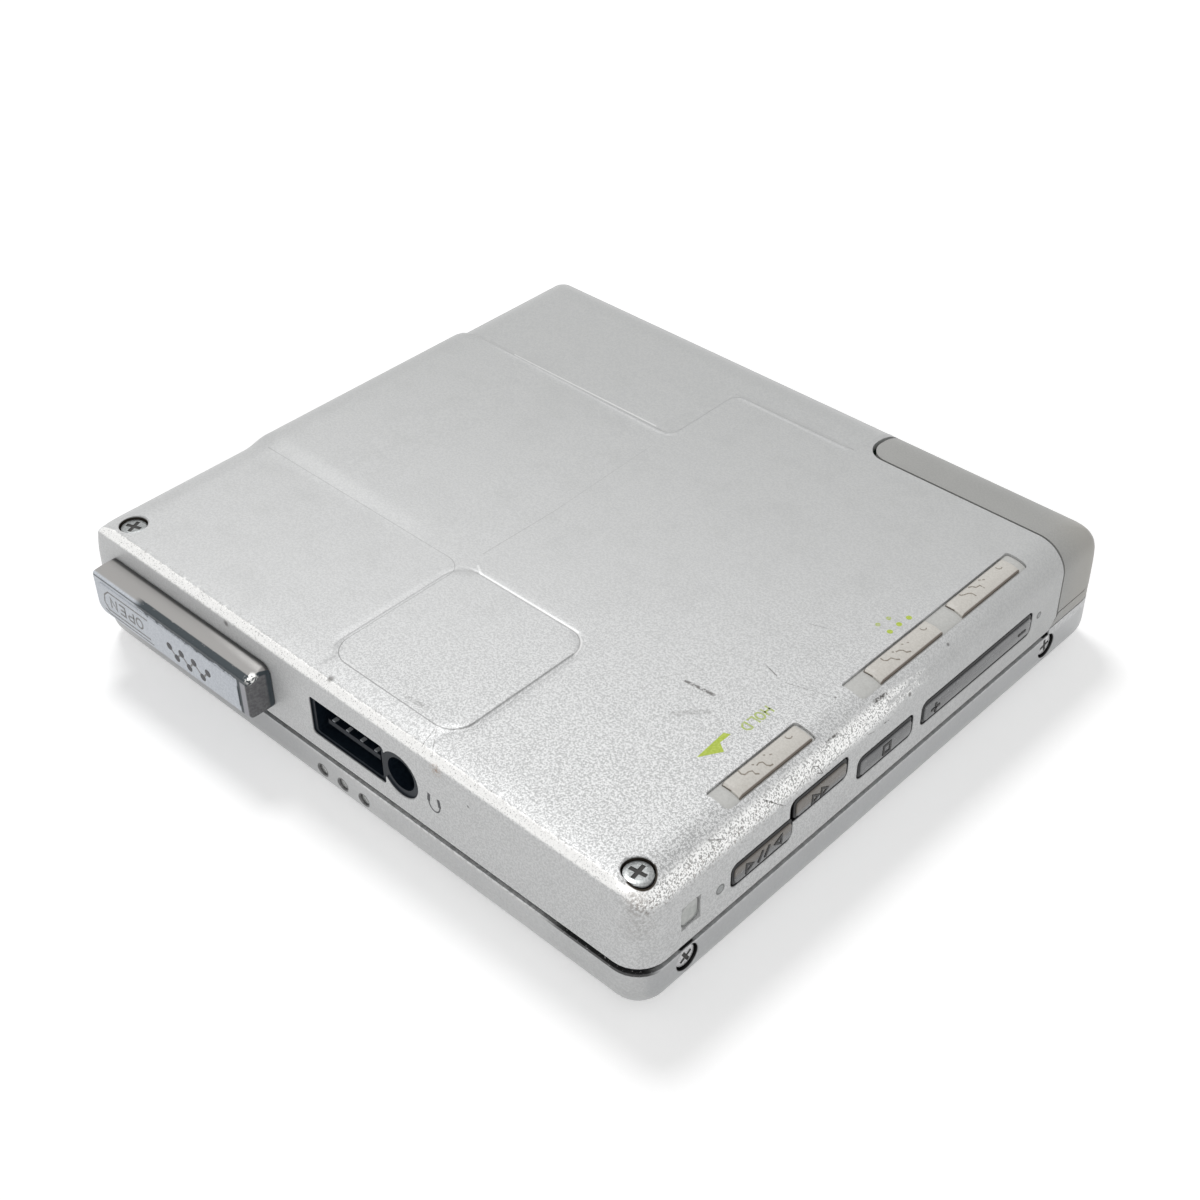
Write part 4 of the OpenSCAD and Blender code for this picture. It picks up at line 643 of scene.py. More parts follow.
def on_top(u, v, w):
    return (u, v, w)


def on_front(u, v, w):
    return (u, w, v)


def on_side(u, v, w):
    return (w, u, v)


def bridge(bm, low, high, closed=True):
    """Faces between two rows with the same number of points."""
    for k in range(len(low) - (not closed)):
        after = (k + 1) % len(low)
        bm.faces.new((low[k], low[after], high[after], high[k]))


def loft(layers, place, bm=None):
    """A closed solid through outlines with the same number of points; layers holds (outline, height)."""
    bm = bm or bmesh.new()
    rows = [[bm.verts.new(place(u, v, w)) for u, v in points] for points, w in layers]
    for low, high in zip(rows, rows[1:]):
        bridge(bm, low, high)
    bm.faces.new(rows[0][::-1])
    bm.faces.new(rows[-1])
    return bm


def turned(centre, levels, place, bm=None, n=40):
    """A round solid; levels holds (radius, height)."""
    return loft([(disc(*centre, r, n), w) for r, w in levels], place, bm)


def dome(u, v, r, foot, base, rise, place, n):
    """A round dot that bulges out of a wall; its foot lies behind it."""
    levels = [(r, foot)] + [(r * math.cos(t), base + rise * math.sin(t)) for t in map(math.radians, (18, 36, 54, 72))]
    return turned((u, v), levels, place, None, n)


def soft_pad(x0, x1, y0, y1, r, low, high, edge, place, bm=None, steps=4):
    """A rounded plate from height low to high, with its edge rounded at the high end."""
    way = 1 if high > low else -1
    layers = [(pad(x0, x1, y0, y1, r), low)]
    for k in range(steps + 1):
        t = math.radians(90 * k / steps)
        g = edge * (1 - math.cos(t))
        layers.append((pad(x0 + g, x1 - g, y0 + g, y1 - g, max(r - g, 0.04)), high - way * edge * (1 - math.sin(t))))
    return loft(layers, place, bm)


def prism(outline, low, high, place, bm=None):
    return loft([(outline, low), (outline, high)], place, bm)


def box(x0, x1, y0, y1, z0, z1, bm=None):
    return prism([(x0, y0), (x1, y0), (x1, y1), (x0, y1)], z0, z1, on_top, bm)


def stroke(points, width, low, high, place, bm=None, closed=False):
    """A raised line of one width through the points."""
    bm = bm or bmesh.new()
    count = len(points)
    rows = []
    for k, (u, v) in enumerate(points):
        before = Vector(points[k - 1] if k or closed else points[0])
        after = Vector(points[(k + 1) % count] if k < count - 1 or closed else points[k])
        here = Vector((u, v))
        first = (here - before).normalized() if before != here else (after - here).normalized()
        second = (after - here).normalized() if after != here else first
        along = (first + second).normalized() if (first + second).length > 0.2 else first
        half = width / 2 / max(0.6, along.dot(first))
        nu, nv = -along.y * half, along.x * half
        if not closed and k in (0, count - 1):
            shift = along * width * (-0.3 if k == 0 else 0.3)
            u, v = u + shift.x, v + shift.y
        rows.append([bm.verts.new(place(u + side * nu, v + side * nv, w))
                     for side, w in ((-1, low), (1, low), (1, high), (-1, high))])
    for a, b in zip(rows, rows[1:] + (rows[:1] if closed else [])):
        bridge(bm, a, b)
    if not closed:
        bm.faces.new(rows[0][::-1])
        bm.faces.new(rows[-1])
    return bm


def strokes(shapes, width, low, high, place, bm=None):
    """Several strokes together; shapes holds points and whether they are closed."""
    bm = bm or bmesh.new()
    for points, closed in shapes:
        stroke(points, width, low, high, place, bm, closed)
    return bm


def shifted(shape, u, v):
    """A closed shape moved to its place."""
    return [(u + a, v + b) for a, b in shape], True


def temporary(bm):
    bmesh.ops.recalc_face_normals(bm, faces=bm.faces[:])
    mesh = bpy.data.meshes.new("temporary")
    bm.to_mesh(mesh)
    bm.free()
    made = bpy.data.objects.new("temporary", mesh)
    scene.collection.objects.link(made)
    return made


def cut(bm, tool, operation="DIFFERENCE"):
    """The solid bm less, joined with or within the solid tool. Both bmeshes are used up."""
    first, second = temporary(bm), temporary(tool)
    modifier = first.modifiers.new("cut", "BOOLEAN")
    modifier.object = second
    modifier.operation = operation
    modifier.solver = "EXACT"
    result = bpy.data.meshes.new_from_object(first.evaluated_get(bpy.context.evaluated_depsgraph_get()))
    out = bmesh.new()
    out.from_mesh(result)
    for item in (first, second):
        mesh = item.data
        bpy.data.objects.remove(item)
        bpy.data.meshes.remove(mesh)
    bpy.data.meshes.remove(result)
    return out


def make(name, bm, slot, body, replaced=(), look=None, angle=32.0):
    """Turns a bmesh in millimetres into a piece that rides on a body."""
    bmesh.ops.remove_doubles(bm, verts=bm.verts[:], dist=0.0005)
    bmesh.ops.recalc_face_normals(bm, faces=bm.faces[:])
    for face in bm.faces:
        face.smooth = True
        face.material_index = 0
    limit = math.radians(angle)
    for edge in bm.edges:
        edge.smooth = edge.is_manifold and edge.calc_face_angle(0.0) < limit
    bmesh.ops.scale(bm, vec=(MM, MM, MM), verts=bm.verts[:])
    mesh = bpy.data.meshes.new(name)
    bm.to_mesh(mesh)
    bm.free()
    mesh.materials.clear()
    mesh.materials.append(LOOKS[look or slot].material)
    made = bpy.data.objects.new(name, mesh)
    scene.collection.objects.link(made)
    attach(made, body)
    if replaced:
        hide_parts(*replaced)
    return made


def smooth(value, low, high):
    t = min(1.0, max(0.0, (value - low) / (high - low)))
    return t * t * (3 - 2 * t)


def pad_distance(x, y, x0, x1, y0, y1, r):
    """Signed distance from a rounded rectangle, negative inside."""
    dx = abs(x - (x0 + x1) / 2) - (x1 - x0) / 2 + r
    dy = abs(y - (y0 + y1) / 2) - (y1 - y0) / 2 + r
    return math.hypot(max(dx, 0), max(dy, 0)) + min(max(dx, dy), 0) - r


# The two shells, as in the frame but finer


def graded(low, high, keys, coarse=0.55, fine=0.1, reach=0.6):
    """Positions from low to high, closer together near the keys."""
    points = [low]
    while points[-1] < high:
        here = points[-1]
        near = min([abs(here - key) for key in keys] + [99.0])
        points.append(here + (fine if near < reach else coarse))
    scale = (high - low) / (points[-1] - low)
    return [low + (p - low) * scale for p in points]


def inset(r, depth):
    return 0.0 if depth >= r else r - math.sqrt(max(0.0, r * r - (r - depth) ** 2))


def unchanged(*point):
    return point


def shell(edges, steps, base, face, way, keys=((), ()), arc=8, change=unchanged, grow=0.0):
    """A closed block with the outline of the case; way is 1 if its face is up.

    steps and arc set how finely its edges and its corners are rounded. The face is finer near the keys, and
    change moves each point. With grow below 0 it is the inside of such a block.
    """
    bm = bmesh.new()
    edges = [r + grow for r in edges]
    half_w, half_d, corner, face = HALF_W + grow, HALF_D + grow, CORNER + grow, face + way * grow

    def outline_at(depth):
        ins = [inset(r, depth) for r in edges]
        rad = [max(0.6, corner - v) for v in ins]
        return (-half_w + ins[0], half_w - ins[1], -half_d + ins[2], half_d - ins[3]), rad

    (x0, x1, y0, y1), rad = outline_at(0.0)
    xs = graded(x0 + rad[0], x1 - rad[1], keys[0])
    ys = graded(y0 + rad[2], y1 - rad[3], keys[1])
    us = [(x - xs[0]) / (xs[-1] - xs[0]) for x in xs]
    vs = [(y - ys[0]) / (ys[-1] - ys[0]) for y in ys]

    def ring(depth, z):
        (x0, x1, y0, y1), (left, right, front, back) = outline_at(depth)
        c0, c1, d0, d1 = x0 + left, x1 - right, y0 + front, y1 - back
        along = [c0 + u * (c1 - c0) for u in us]
        up = [d0 + v * (d1 - d0) for v in vs]
        points = [(x, y0) for x in along] + quarter(c1, d0, right, front, 270)
        points += [(x1, y) for y in up] + quarter(c1, d1, right, back, 0)
        points += [(x, y1) for x in along[::-1]] + quarter(c0, d1, left, back, 90)
        points += [(x0, y) for y in up[::-1]] + quarter(c0, d0, left, front, 180)
        return [bm.verts.new(change(x, y, z)) for x, y in points]

    def quarter(cx, cy, rx, ry, start):
        return bow(cx, cy, rx, ry, [start + 90 * k / arc for k in range(1, arc)])

    depths = [max(edges) * (k / steps) ** 2 for k in range(steps + 1)]
    rows = [ring(d, face - way * d) for d in depths] + [ring(depths[-1], base)]
    for outer, inner in zip(rows, rows[1:]):
        bridge(bm, outer, inner)
    bm.faces.new(rows[-1])

    # The face inside its first ring: a grid, strips along the sides and a fan in each corner
    top = rows[0]
    grid = [[bm.verts.new(change(x, y, face)) for x in xs] for y in ys]
    for low, high in zip(grid, grid[1:]):
        bridge(bm, low, high, closed=False)
    nx, ny = len(xs), len(ys)
    starts = [0, nx + arc - 1, nx + ny + 2 * (arc - 1), 2 * nx + ny + 3 * (arc - 1)]
    sides = [grid[0], [row[-1] for row in grid], grid[-1][::-1], [row[0] for row in grid][::-1]]
    for start, side in zip(starts, sides):
        end = start + len(side) - 1
        bridge(bm, top[start:end + 1], side, closed=False)
        for k in range(end, end + arc):
            bm.faces.new((top[k % len(top)], top[(k + 1) % len(top)], side[-1]))
    return bm


def cover_change(x, y, z):
    """Relief pressed into the cover: a band that rises to the left, a tab and lower ground behind the band."""
    rise = smooth(y, -16.1, -13.1) * (1 - smooth(y, 15.5, 16.3))
    if x < TAB[0]:
        tilt = math.radians(TILT) * rise
        dx, dz = x - TAB[0], z - TOP
        x, z = TAB[0] + dx * math.cos(tilt) + dz * math.sin(tilt), TOP - dx * math.sin(tilt) + dz * math.cos(tilt)
        x = max(x, -HALF_W - 0.09)
    if z > TOP - 1.2:
        tab = pad_distance(x, y, *TAB, 2.6)
        z += 0.15 * (1 - smooth(tab, -0.12, 0.12))
        z -= 0.07 * math.exp(-((tab - 0.22) / 0.12) ** 2)
        low = min(pad_distance(x, y, -60.0, -3.4, 15.9, 60.0, 1.4), pad_distance(x, y, -7.5, 13.0, 27.0, 60.0, 1.4))
        z -= 0.15 * (1 - smooth(low, -0.25, 0.2))
        z += 0.05 * math.exp(-((low - 0.3) / 0.22) ** 2) * smooth(x, -33.0, -28.0)
    return (x, y, z)


def window_tool(y0, y1, z0, z1, r, bm):
    """Cuts a window in the control side, with a small bevel at the outer face."""
    layers = [(pad(y0, y1, z0, z1, r), 37.0), (pad(y0, y1, z0, z1, r), HALF_W - 0.14),
              (pad(y0 - 0.3, y1 + 0.3, z0 - 0.3, z1 + 0.3, r + 0.3), HALF_W + 0.16)]
    return loft(layers, on_side, bm)


def slot_outline(y0, y1, gap):
    """Outline of a knob slot; its front end is rounder towards the control side."""
    return pad(35.15 + gap, 37.7 - gap * 0.3, y0 + gap, y1 - gap, (0.3, 0.3, 0.3, 0.6))


def door_outline(gap, left):
    return pad(14.4 - left, 60.0, 27.7 - gap, 60.0, 2.2 + gap, 10)


def strip_outline(gap):
    y0 = 26.6 - gap
    return [(y0, 0.0), (60.0, 0.0), (60.0, 7.55 + gap), (y0 + 1.4, 7.55 + gap), (y0, 6.3 - gap)]


def build_cover():
    bm = shell(COVER_EDGES, 16, COVER_BASE, TOP, 1, (TAB[:2], (*TAB[2:], 16.0, 27.0)), change=cover_change)
    bm = cut(bm, shell(COVER_EDGES, 8, 0.0, TOP, 1, arc=6, grow=-SKIN))
    tools = bmesh.new()
    for name in ("stop", "volume", "lamp"):
        window_tool(*WINDOWS[name], 0.7, tools)
    turned(JACK, [(2.5, -30.0), (2.5, -HALF_D + 0.1), (2.65, -HALF_D - 0.1), (2.65, -40.0)], on_front, tools)
    prism(pad(-30.2, -12.8, 8.4, 11.6, 0.3), -33.0, -40.0, on_front, tools)
    for y0, y1 in SLOTS:
        prism(slot_outline(y0, y1, 0.0), 13.9, 20.0, on_top, tools)
    for x, y, _ in COVER_SCREWS:
        turned((x, y), [(1.5, COVER_HEAD_Z), (1.5, TOP - 0.12), (1.78, TOP + 0.16), (1.78, 20.0)], on_top, tools)
    bm = cut(bm, tools)
    # Pieces that cross each other are cut one at a time
    for name in ("rewind", "forward"):
        bm = cut(bm, window_tool(*WINDOWS[name], 0.7, bmesh.new()))
    bm = cut(bm, prism(pad(-2.9, 7.6, 7.95, 12.6, 0.4), -30.0, -40.0, on_front))
    bm = cut(bm, prism(door_outline(0.25, 0.45), 0.0, 20.0, on_top))
    bm = cut(bm, prism(strip_outline(0.15), 37.0, 45.0, on_side))
    return cut(bm, box(-50.0, 50.0, SWING_Y, 50.0, 0.0, 6.45))


make("cover_skin", build_cover(), "cover_paint", "player", ("bottom_cover",), angle=40.0)


def build_lid():
    bm = shell(LID_EDGES, 10, 6.15, 0.0, -1)
    bm = cut(bm, shell(LID_EDGES, 8, 12.0, 0.0, -1, arc=6, grow=-SKIN))
    bm = cut(bm, box(-50.0, 50.0, SWING_Y, 50.0, 4.5, 20.0))
    bm = cut(bm, box(-50.0, 50.0, -50.0, 26.5, LID_TOP, 20.0))
    bm = cut(bm, box(-50.0, 37.9, 20.0, 50.0, LID_TOP, 20.0))
    tools = bmesh.new()
    for y, _ in LID_SCREWS:
        for side in (-1, 1):
            levels = [(1.4, side * 36.0), (1.4, side * (HALF_W - 0.1)), (1.6, side * (HALF_W + 0.1))]
            turned((y, LID_SCREW_Z), levels, on_side, tools)
    for x in CONTACT_X:
        levels = [(0.6, -33.0), (0.6, -HALF_D + 0.1), (0.78, -HALF_D - 0.1)]
        turned((x, CONTACT_Z), levels, on_front, tools, 24)
    return cut(bm, tools)


make("lid_skin", build_lid(), "lid_paint", "lid", ("lid_shell",), angle=40.0)


# Battery door, hollow like the cover, with a knuckle on its pin


def build_door():
    bm = shell(COVER_EDGES, 16, 7.7, TOP, 1, ((16.0, 20.0), (28.0,)))
    bm = cut(bm, shell(COVER_EDGES, 8, 0.0, TOP, 1, arc=6, grow=-SKIN))
    bm = cut(bm, prism(door_outline(0.0, 0.0), 0.0, 20.0, on_top), "INTERSECT")
    knuckle = turned(PIN, [(1.0, 7.9), (1.0, 10.6)], on_top)
    arm = cut(knuckle, box(PIN[0], 17.4, PIN[1], 35.6, 7.9, 10.6), "UNION")
    bm = cut(bm, cut(arm, turned(PIN, [(0.45, 0.0), (0.45, 10.8)], on_top)), "UNION")
    return cut(bm, box(0.0, 17.3, 27.0, 50.0, 0.0, 7.9))


make("door_skin", build_door(), "door_plastic", "door", ("battery_door",), angle=40.0)

# Slide knobs with wavy grip marks


def cover_height(x):
    """Height of the cover's top along X, over the control side's rounding."""
    r = COVER_EDGES[1]
    across = x - (HALF_W - r)
    return TOP if across <= 0 else TOP - r + math.sqrt(max(0.0, r ** 2 - across ** 2))


def knob_height(x):
    return min(TOP + 0.05, cover_height(x) + 0.1)


def on_knob(x, y, w):
    return (x, y, knob_height(x) + w)


def profile(x0, x1, height, low, y0, y1, count=14):
    """A bar along Y whose top follows a height over X."""
    xs = [x1 + (x0 - x1) * k / count for k in range(count + 1)]
    return prism([(x0, low), (x1, low)] + [(x, height(x)) for x in xs], y0, y1, on_front)


def floor_height(x):
    return cover_height(x) - 0.28


def build_knob(y0, y1, before, after):
    """A grip with a bevelled front end on a short stem, and the flange that slides under the cover."""
    bm = bmesh.new()
    x0, x1, nx, ny = 35.4, 37.5, 26, 60
    rows = []
    for j in range(ny + 1):
        y = y0 + (y1 - y0) * (j / ny) ** 1.3
        row = []
        for i in range(nx + 1):
            x = x0 + (x1 - x0) * (1 - math.cos(math.pi * i / nx)) / 2
            edge = min(x - x0, x1 - x, y1 - y)
            z = knob_height(x) - 0.12 * (1 - smooth(edge, 0.0, 0.12)) - 0.16 * (1 - smooth(y - y0, 0.0, 0.42))
            row.append(bm.verts.new((x, y, z)))
        rows.append(row)
    under = [[bm.verts.new((v.co.x, v.co.y, floor_height(v.co.x) + 0.03)) for v in row] for row in rows]
    for sheet in (rows, under):
        for low, high in zip(sheet, sheet[1:]):
            bridge(bm, low, high, closed=False)
    for pick in (lambda sheet: sheet[0], lambda sheet: sheet[-1],
                 lambda sheet: [row[0] for row in sheet], lambda sheet: [row[-1] for row in sheet]):
        bridge(bm, pick(rows), pick(under), closed=False)
    middle = (y0 + y1) / 2
    box(36.2, 36.6, middle - 0.8, middle + 0.8, 14.8, 15.75, bm)
    prism(pad(34.75, 36.9, y0 - before, y1 + after, 0.15, 3), 14.5, 14.88, on_top, bm)
    return bm


# Wavy lines on each knob in X and Y, and where its arc sits along Y; both are low ridges coloured dark as painted
# shade
KNOB_MARKS = {
    "hold": ([
        [(35.55, -19.1), (35.96, -19.22), (36.24, -19.05), (36.24, -18.55), (36.4, -18.27), (36.82, -18.33),
         (37.0, -18.05)],
        [(36.26, -17.46), (36.2, -17.1), (36.36, -16.82), (36.82, -16.84), (37.07, -16.6), (37.12, -16.3)],
        [(35.85, -16.1), (35.95, -16.0)], [(36.25, -15.65), (36.33, -15.5)], [(35.9, -17.7), (36.0, -17.6)]], -12.7),
    "preset": ([
        [(35.68, 1.3), (36.05, 1.25), (36.3, 1.5), (36.34, 2.0), (36.78, 2.22), (36.98, 2.5)],
        [(36.16, 3.05), (36.24, 3.42), (36.5, 3.66), (36.86, 3.72), (37.05, 4.15)],
        [(35.88, 4.25), (35.98, 4.35)], [(36.12, 4.82), (36.22, 4.92)], [(35.9, 2.75), (36.0, 2.85)]], 7.6),
    "limit": ([
        [(35.6, 14.05), (35.8, 14.1), (35.97, 14.4), (36.13, 14.82), (36.41, 15.05), (36.85, 15.1)],
        [(35.6, 15.6), (35.8, 15.95), (36.17, 16.1), (36.25, 16.6), (36.76, 16.65)],
        [(35.7, 17.2), (35.8, 17.35)], [(35.95, 17.55), (36.05, 17.7)]], 20.3),
}
# How far the flange of each knob reaches beyond it, to the front and to the back
for name, before, after in (("hold", 2.0, 2.2), ("preset", 1.2, 0.5), ("limit", 0.5, 1.2)):
    make(name + "_grip", build_knob(*KNOBS[name], before, after), "knob_plastic", name, (name + "_knob",))
    lines, ring_y = KNOB_MARKS[name]
    raised = strokes([(points, False) for points in lines], 0.12, -0.02, 0.025, on_knob)
    stroke(bow(35.95, ring_y, 0.32, 0.32, range(-115, 40, 15)), 0.1, -0.02, 0.025, on_knob, raised)
    make(name + "_marks", raised, "knob_plastic", name, look="knob_line")

# Keys: a body coloured near-black as painted shade, with a grey face and marks that stand out of it


def build_face(window, front, back):
    """The grey face of a key, a little smaller than its body, whose near-black colour is painted shade."""
    y0, y1, z0, z1 = window
    return soft_pad(y0 + front + 0.3, y1 - back - 0.1, z0 + 0.28, z1 - 0.62, 0.5, HALF_W - 0.2, FACE, 0.12, on_side)


def build_body(window, front, back, flange, inner):
    """The body of a key in its window, with a flange behind the skin, coloured near-black as painted shade in the
    gaps.
    """
    y0, y1, z0, z1 = window
    bm = soft_pad(y0 + front, y1 - back, z0 + 0.13, z1 - 0.15, 0.55, inner, HALF_W - 0.1, 0.1, on_side)
    if flange:
        y0, y1, z0, z1 = y0 - flange[0], y1 + flange[1], z0 - flange[2], z1 + flange[3]
        soft_pad(y0, y1, z0, z1, 0.5, inner, inner + 0.35, 0.1, on_side, bm, steps=2)
    return bm


# Key, its window, gaps to the front and back, how far the flange reaches past the window, and where it starts
KEYS = (("play", "rewind", 0.13, 0.0, (0.5, -0.1, 0.05, 0.3), 38.15),
        ("forward", "forward", 0.5, 0.13, (-0.5, 0.5, 0.0, 0.0), 38.15),
        ("stop", "stop", 0.13, 0.13, (0.5, 0.3, 0.05, 0.4), 38.15),
        ("volume", "volume", 0.13, 0.13, None, 37.95))
for name, window, front, back, flange, inner in KEYS:
    body = build_body(WINDOWS[window], front, back, flange, inner)
    if name == "volume":
        prism(disc(37.9, 13.0, 0.35, 20), 7.9, 11.8, on_top, body)
    make(name + "_body", body, "key_plastic", name, (name + "_key",), look="key_black")
    make(name + "_cap", build_face(WINDOWS[window], front, back), "key_plastic", name)

triangle = ((0.0, 0.5), (0.0, -0.5), (0.85, 0.0))
square = ((0.0, 0.5), (0.0, -0.5), (1.0, -0.5), (1.0, 0.5))
marks = {
    "play": [shifted(triangle, -22.3, 9.15), shifted([(-u, v) for u, v in triangle], -17.5, 9.15),
             ([(-20.6, 8.65), (-20.1, 9.65)], False), ([(-19.7, 8.65), (-19.2, 9.65)], False)],
    "forward": [shifted(triangle, -13.2, 10.85), shifted(triangle, -11.9, 10.85)],
    "stop": [shifted(square, -2.4, 9.3)],
    "volume": [([(5.3, 9.2), (6.5, 9.2)], False), ([(5.9, 8.7), (5.9, 9.7)], False),
               ([(20.1, 9.3), (21.2, 9.3)], False)],
}
for name, shapes in marks.items():
    made = strokes(shapes, 0.27, FACE - 0.1, FACE + 0.05, on_side)
    make(name + "_mark", made, "key_plastic", name, look="key_print")

# Plain letters for the two labels, one unit high
LETTERS = {
    "H": [[(0, 0), (0, 1)], [(0.62, 0), (0.62, 1)], [(0, 0.5), (0.62, 0.5)]],
    "O": [bow(0.34, 0.5, 0.34, 0.5, range(0, 360, 20))],
    "L": [[(0, 1), (0, 0), (0.55, 0)]],
    "P": [[(0, 0), (0, 1), (0.5, 0.95), (0.6, 0.72), (0.5, 0.5), (0, 0.45)]],
    "E": [[(0.55, 0), (0, 0), (0, 1), (0.55, 1)], [(0, 0.5), (0.45, 0.5)]],
    "N": [[(0, 0), (0, 1), (0.6, 0), (0.6, 1)]],
    "D": [[(0, 0), (0.3, 0), (0.58, 0.25), (0.62, 0.5), (0.58, 0.75), (0.3, 1), (0, 1)]],
}

# Open slider: a housing with a face panel, grip dots and a thin print


def slice_off(bm, point, normal):
    """Takes off what lies past a plane and closes the hole."""
    geom = bm.verts[:] + bm.edges[:] + bm.faces[:]
    bmesh.ops.bisect_plane(bm, geom=geom, plane_co=point, plane_no=normal, clear_outer=True)
    bmesh.ops.contextual_create(bm, geom=[e for e in bm.edges if e.is_boundary])


def build_slider():
    y_back, y_front = -HALF_D - 0.08, -HALF_D - 2.75
    bm = soft_pad(-34.6, -8.6, 7.2, 12.9, 1.3, y_back, y_front + 0.12, 0.35, on_front, steps=5)
    slice_off(bm, (0, y_front, 12.1), (0, -math.tan(math.radians(16)), 1))
    # The right end leans in towards the front
    slice_off(bm, (-8.6, y_back, 10.0), (1, -LEAN, 0))
    sharp = [e for e in bm.edges if e.is_manifold and e.calc_face_angle(0) > math.radians(30)
             and min(v.co.y for v in e.verts) < -36.3 and max(v.co.y for v in e.verts) < -36.0]
    bmesh.ops.bevel(bm, geom=sharp, offset=0.16, segments=2, affect="EDGES", clamp_overlap=True)
    prism(pad(-30.0, -16.0, 8.6, 11.4, 0.3), y_back + 0.01, -35.07, on_front, bm)
    return bm


make("slider_body", build_slider(), "slider_paint", "slider", ("open_slider",))
panel = soft_pad(-33.9, -10.6, 7.55, 11.55, 1.05, -38.4, PANEL, 0.1, on_front, steps=3)
make("slider_panel", panel, "slider_paint", "slider")
zigzag = ((-21.77, 9.5), (-20.7, 8.55), (-19.8, 9.6), (-18.71, 8.45), (-17.75, 9.65), (-16.5, 8.5), (-15.5, 9.6))
for k, (x, z) in enumerate(zigzag):
    dot = dome(x, z, 0.47, PANEL + 0.005, PANEL + 0.005, -0.03, on_front, 18)
    make("slider_dot_%d" % (k + 1), dot, "slider_paint", "slider", look="dark_print")
outline = [(-25.2, 10.9), (-31.9, 10.9), (-32.7, 10.2), (-32.9, 9.2), (-32.3, 8.4), (-25.2, 8.4)]
word = [([(-26.2 - k * 1.5 - u * 1.6, 10.25 - v * 1.2) for u, v in points], letter == "O")
        for k, letter in enumerate("OPEN") for points in LETTERS[letter]]
prints = (("zigzag", [(zigzag, False)], 0.22), ("line_1", [(outline, False)], 0.18), ("word", word, 0.22),
          ("line_2", [([(-33.0, 8.2), (-32.2, 7.9), (-24.8, 7.9)], False)], 0.14))
for name, shapes, width in prints:
    made = strokes(shapes, width, PANEL + 0.07, PANEL - 0.01, on_front)
    make("slider_" + name, made, "slider_paint", "slider", look="grey_print")

# Screws with cross recesses


def build_head(r, thickness, length, thread):
    """A screw head that faces along Z, with its underside at 0 and a cross recess."""
    levels = [(r * 0.97, 0.0), (r, 0.08), (r, thickness - 0.22), (r * 0.93, thickness - 0.07), (r * 0.72, thickness)]
    bm = turned((0, 0), levels, on_top, None, 36)
    a, b = r * 0.62, r * 0.15
    for wide, narrow in (((a, b), (a * 0.45, b * 0.8)), ((b, a), (b * 0.8, a * 0.45))):
        layers = ((narrow, thickness - 0.5), (wide, thickness - 0.12), (wide, thickness + 0.2))
        bm = cut(bm, loft([([(-u, -v), (u, -v), (u, v), (-u, v)], z) for (u, v), z in layers], on_top))
    levels = []
    for k in range(int(length / PITCH) + 1):
        z = -length + PITCH * k
        levels += [(thread * 0.8, z), (thread, min(z + 0.17, 0.02))]
    return turned((0, 0), levels + [(thread * 0.8, 0.06)], on_top, bm, 20)


def build_dirt(r, thickness):
    """The dirt in a head's cross recess."""
    bm = bmesh.new()
    for low, u, v in ((0.0, r * 0.6, r * 0.17), (0.001, r * 0.17, r * 0.6)):
        prism(pad(-u, u, -v, v, 0.06, 2), thickness - 0.4 + low, thickness - 0.06 + low, on_top, bm)
    return bm


def at_seats(build, sizes, seats):
    """One bmesh with a copy of what build makes at each seat."""
    whole = bmesh.new()
    for seat in seats:
        part = build(*sizes)
        bmesh.ops.transform(part, matrix=seat, verts=part.verts[:])
        mesh = bpy.data.meshes.new("part")
        part.to_mesh(mesh)
        part.free()
        whole.from_mesh(mesh)
        bpy.data.meshes.remove(mesh)
    return whole


def fit_screws(name, body, sizes, seats, look):
    """Heads with threads, and the dirt in them; sizes holds radius, thickness, thread's length and radius."""
    make(name + "_heads", at_seats(build_head, sizes, seats), "screw_steel", body, (name + "s",), look)
    make(name + "_dirt", at_seats(build_dirt, sizes[:2], seats), "screw_steel", body, look="cross_dirt")


def turn(degrees, axis):
    return Matrix.Rotation(math.radians(degrees), 4, axis)


seats = [Matrix.Translation((x, y, COVER_HEAD_Z)) @ turn(spin, "Z") for x, y, spin in COVER_SCREWS]
fit_screws("cover_screw", "player", (1.4, 0.78, 3.9, 0.6), seats, "cover_screw")
seats = [Matrix.Translation((side * LID_HEAD_X, y, LID_SCREW_Z)) @ turn(90 * side, "Y") @ turn(spin, "Z")
         for y, spin in LID_SCREWS for side in (-1, 1)]
# The lid's heads take a brighter steel than the cover's, painted light that makes up for the shade they stand in
fit_screws("lid_screw", "lid", (1.25, 0.65, 1.4, 0.5), seats, "screw_steel")

# Printed and small marks on the cover


def flat_mark(name, outlines, look):
    """Flat shapes printed on the top."""
    bm = bmesh.new()
    for outline in outlines:
        prism(outline, TOP - 0.02, TOP + PRINT, on_top, bm)
    make(name, bm, "cover_paint", "player", look=look)


arrow = [(31.72, -20.21), (33.03, -18.05), (32.0, -17.41), (32.01, -15.93), (31.41, -16.24)]
flat_mark("arrow", [arrow], "green_print")
dots = ((33.95, 5.07), (33.94, 6.55), (34.05, 7.98))
flat_mark("setting_dots", [disc(x, y, 0.3, 16) for x, y in dots], "green_print")
dots = ((32.68, 6.6), (32.49, 5.15))
flat_mark("setting_dots_worn", [disc(x, y, 0.26, 16) for x, y in dots], "worn_print")


def on_cover(u, v, w):
    """The word beside the first knob runs along -Y, with its letters' tops towards +X."""
    return (31.9 + v, -11.0 - u, TOP + w)


word = [([(k * 0.97 + u * 1.05, v) for u, v in points], letter in "OD")
        for k, letter in enumerate("HOLD") for points in LETTERS[letter]]
make("hold_word", strokes(word, 0.2, -0.02, PRINT, on_cover), "cover_paint", "player", look="worn_print")

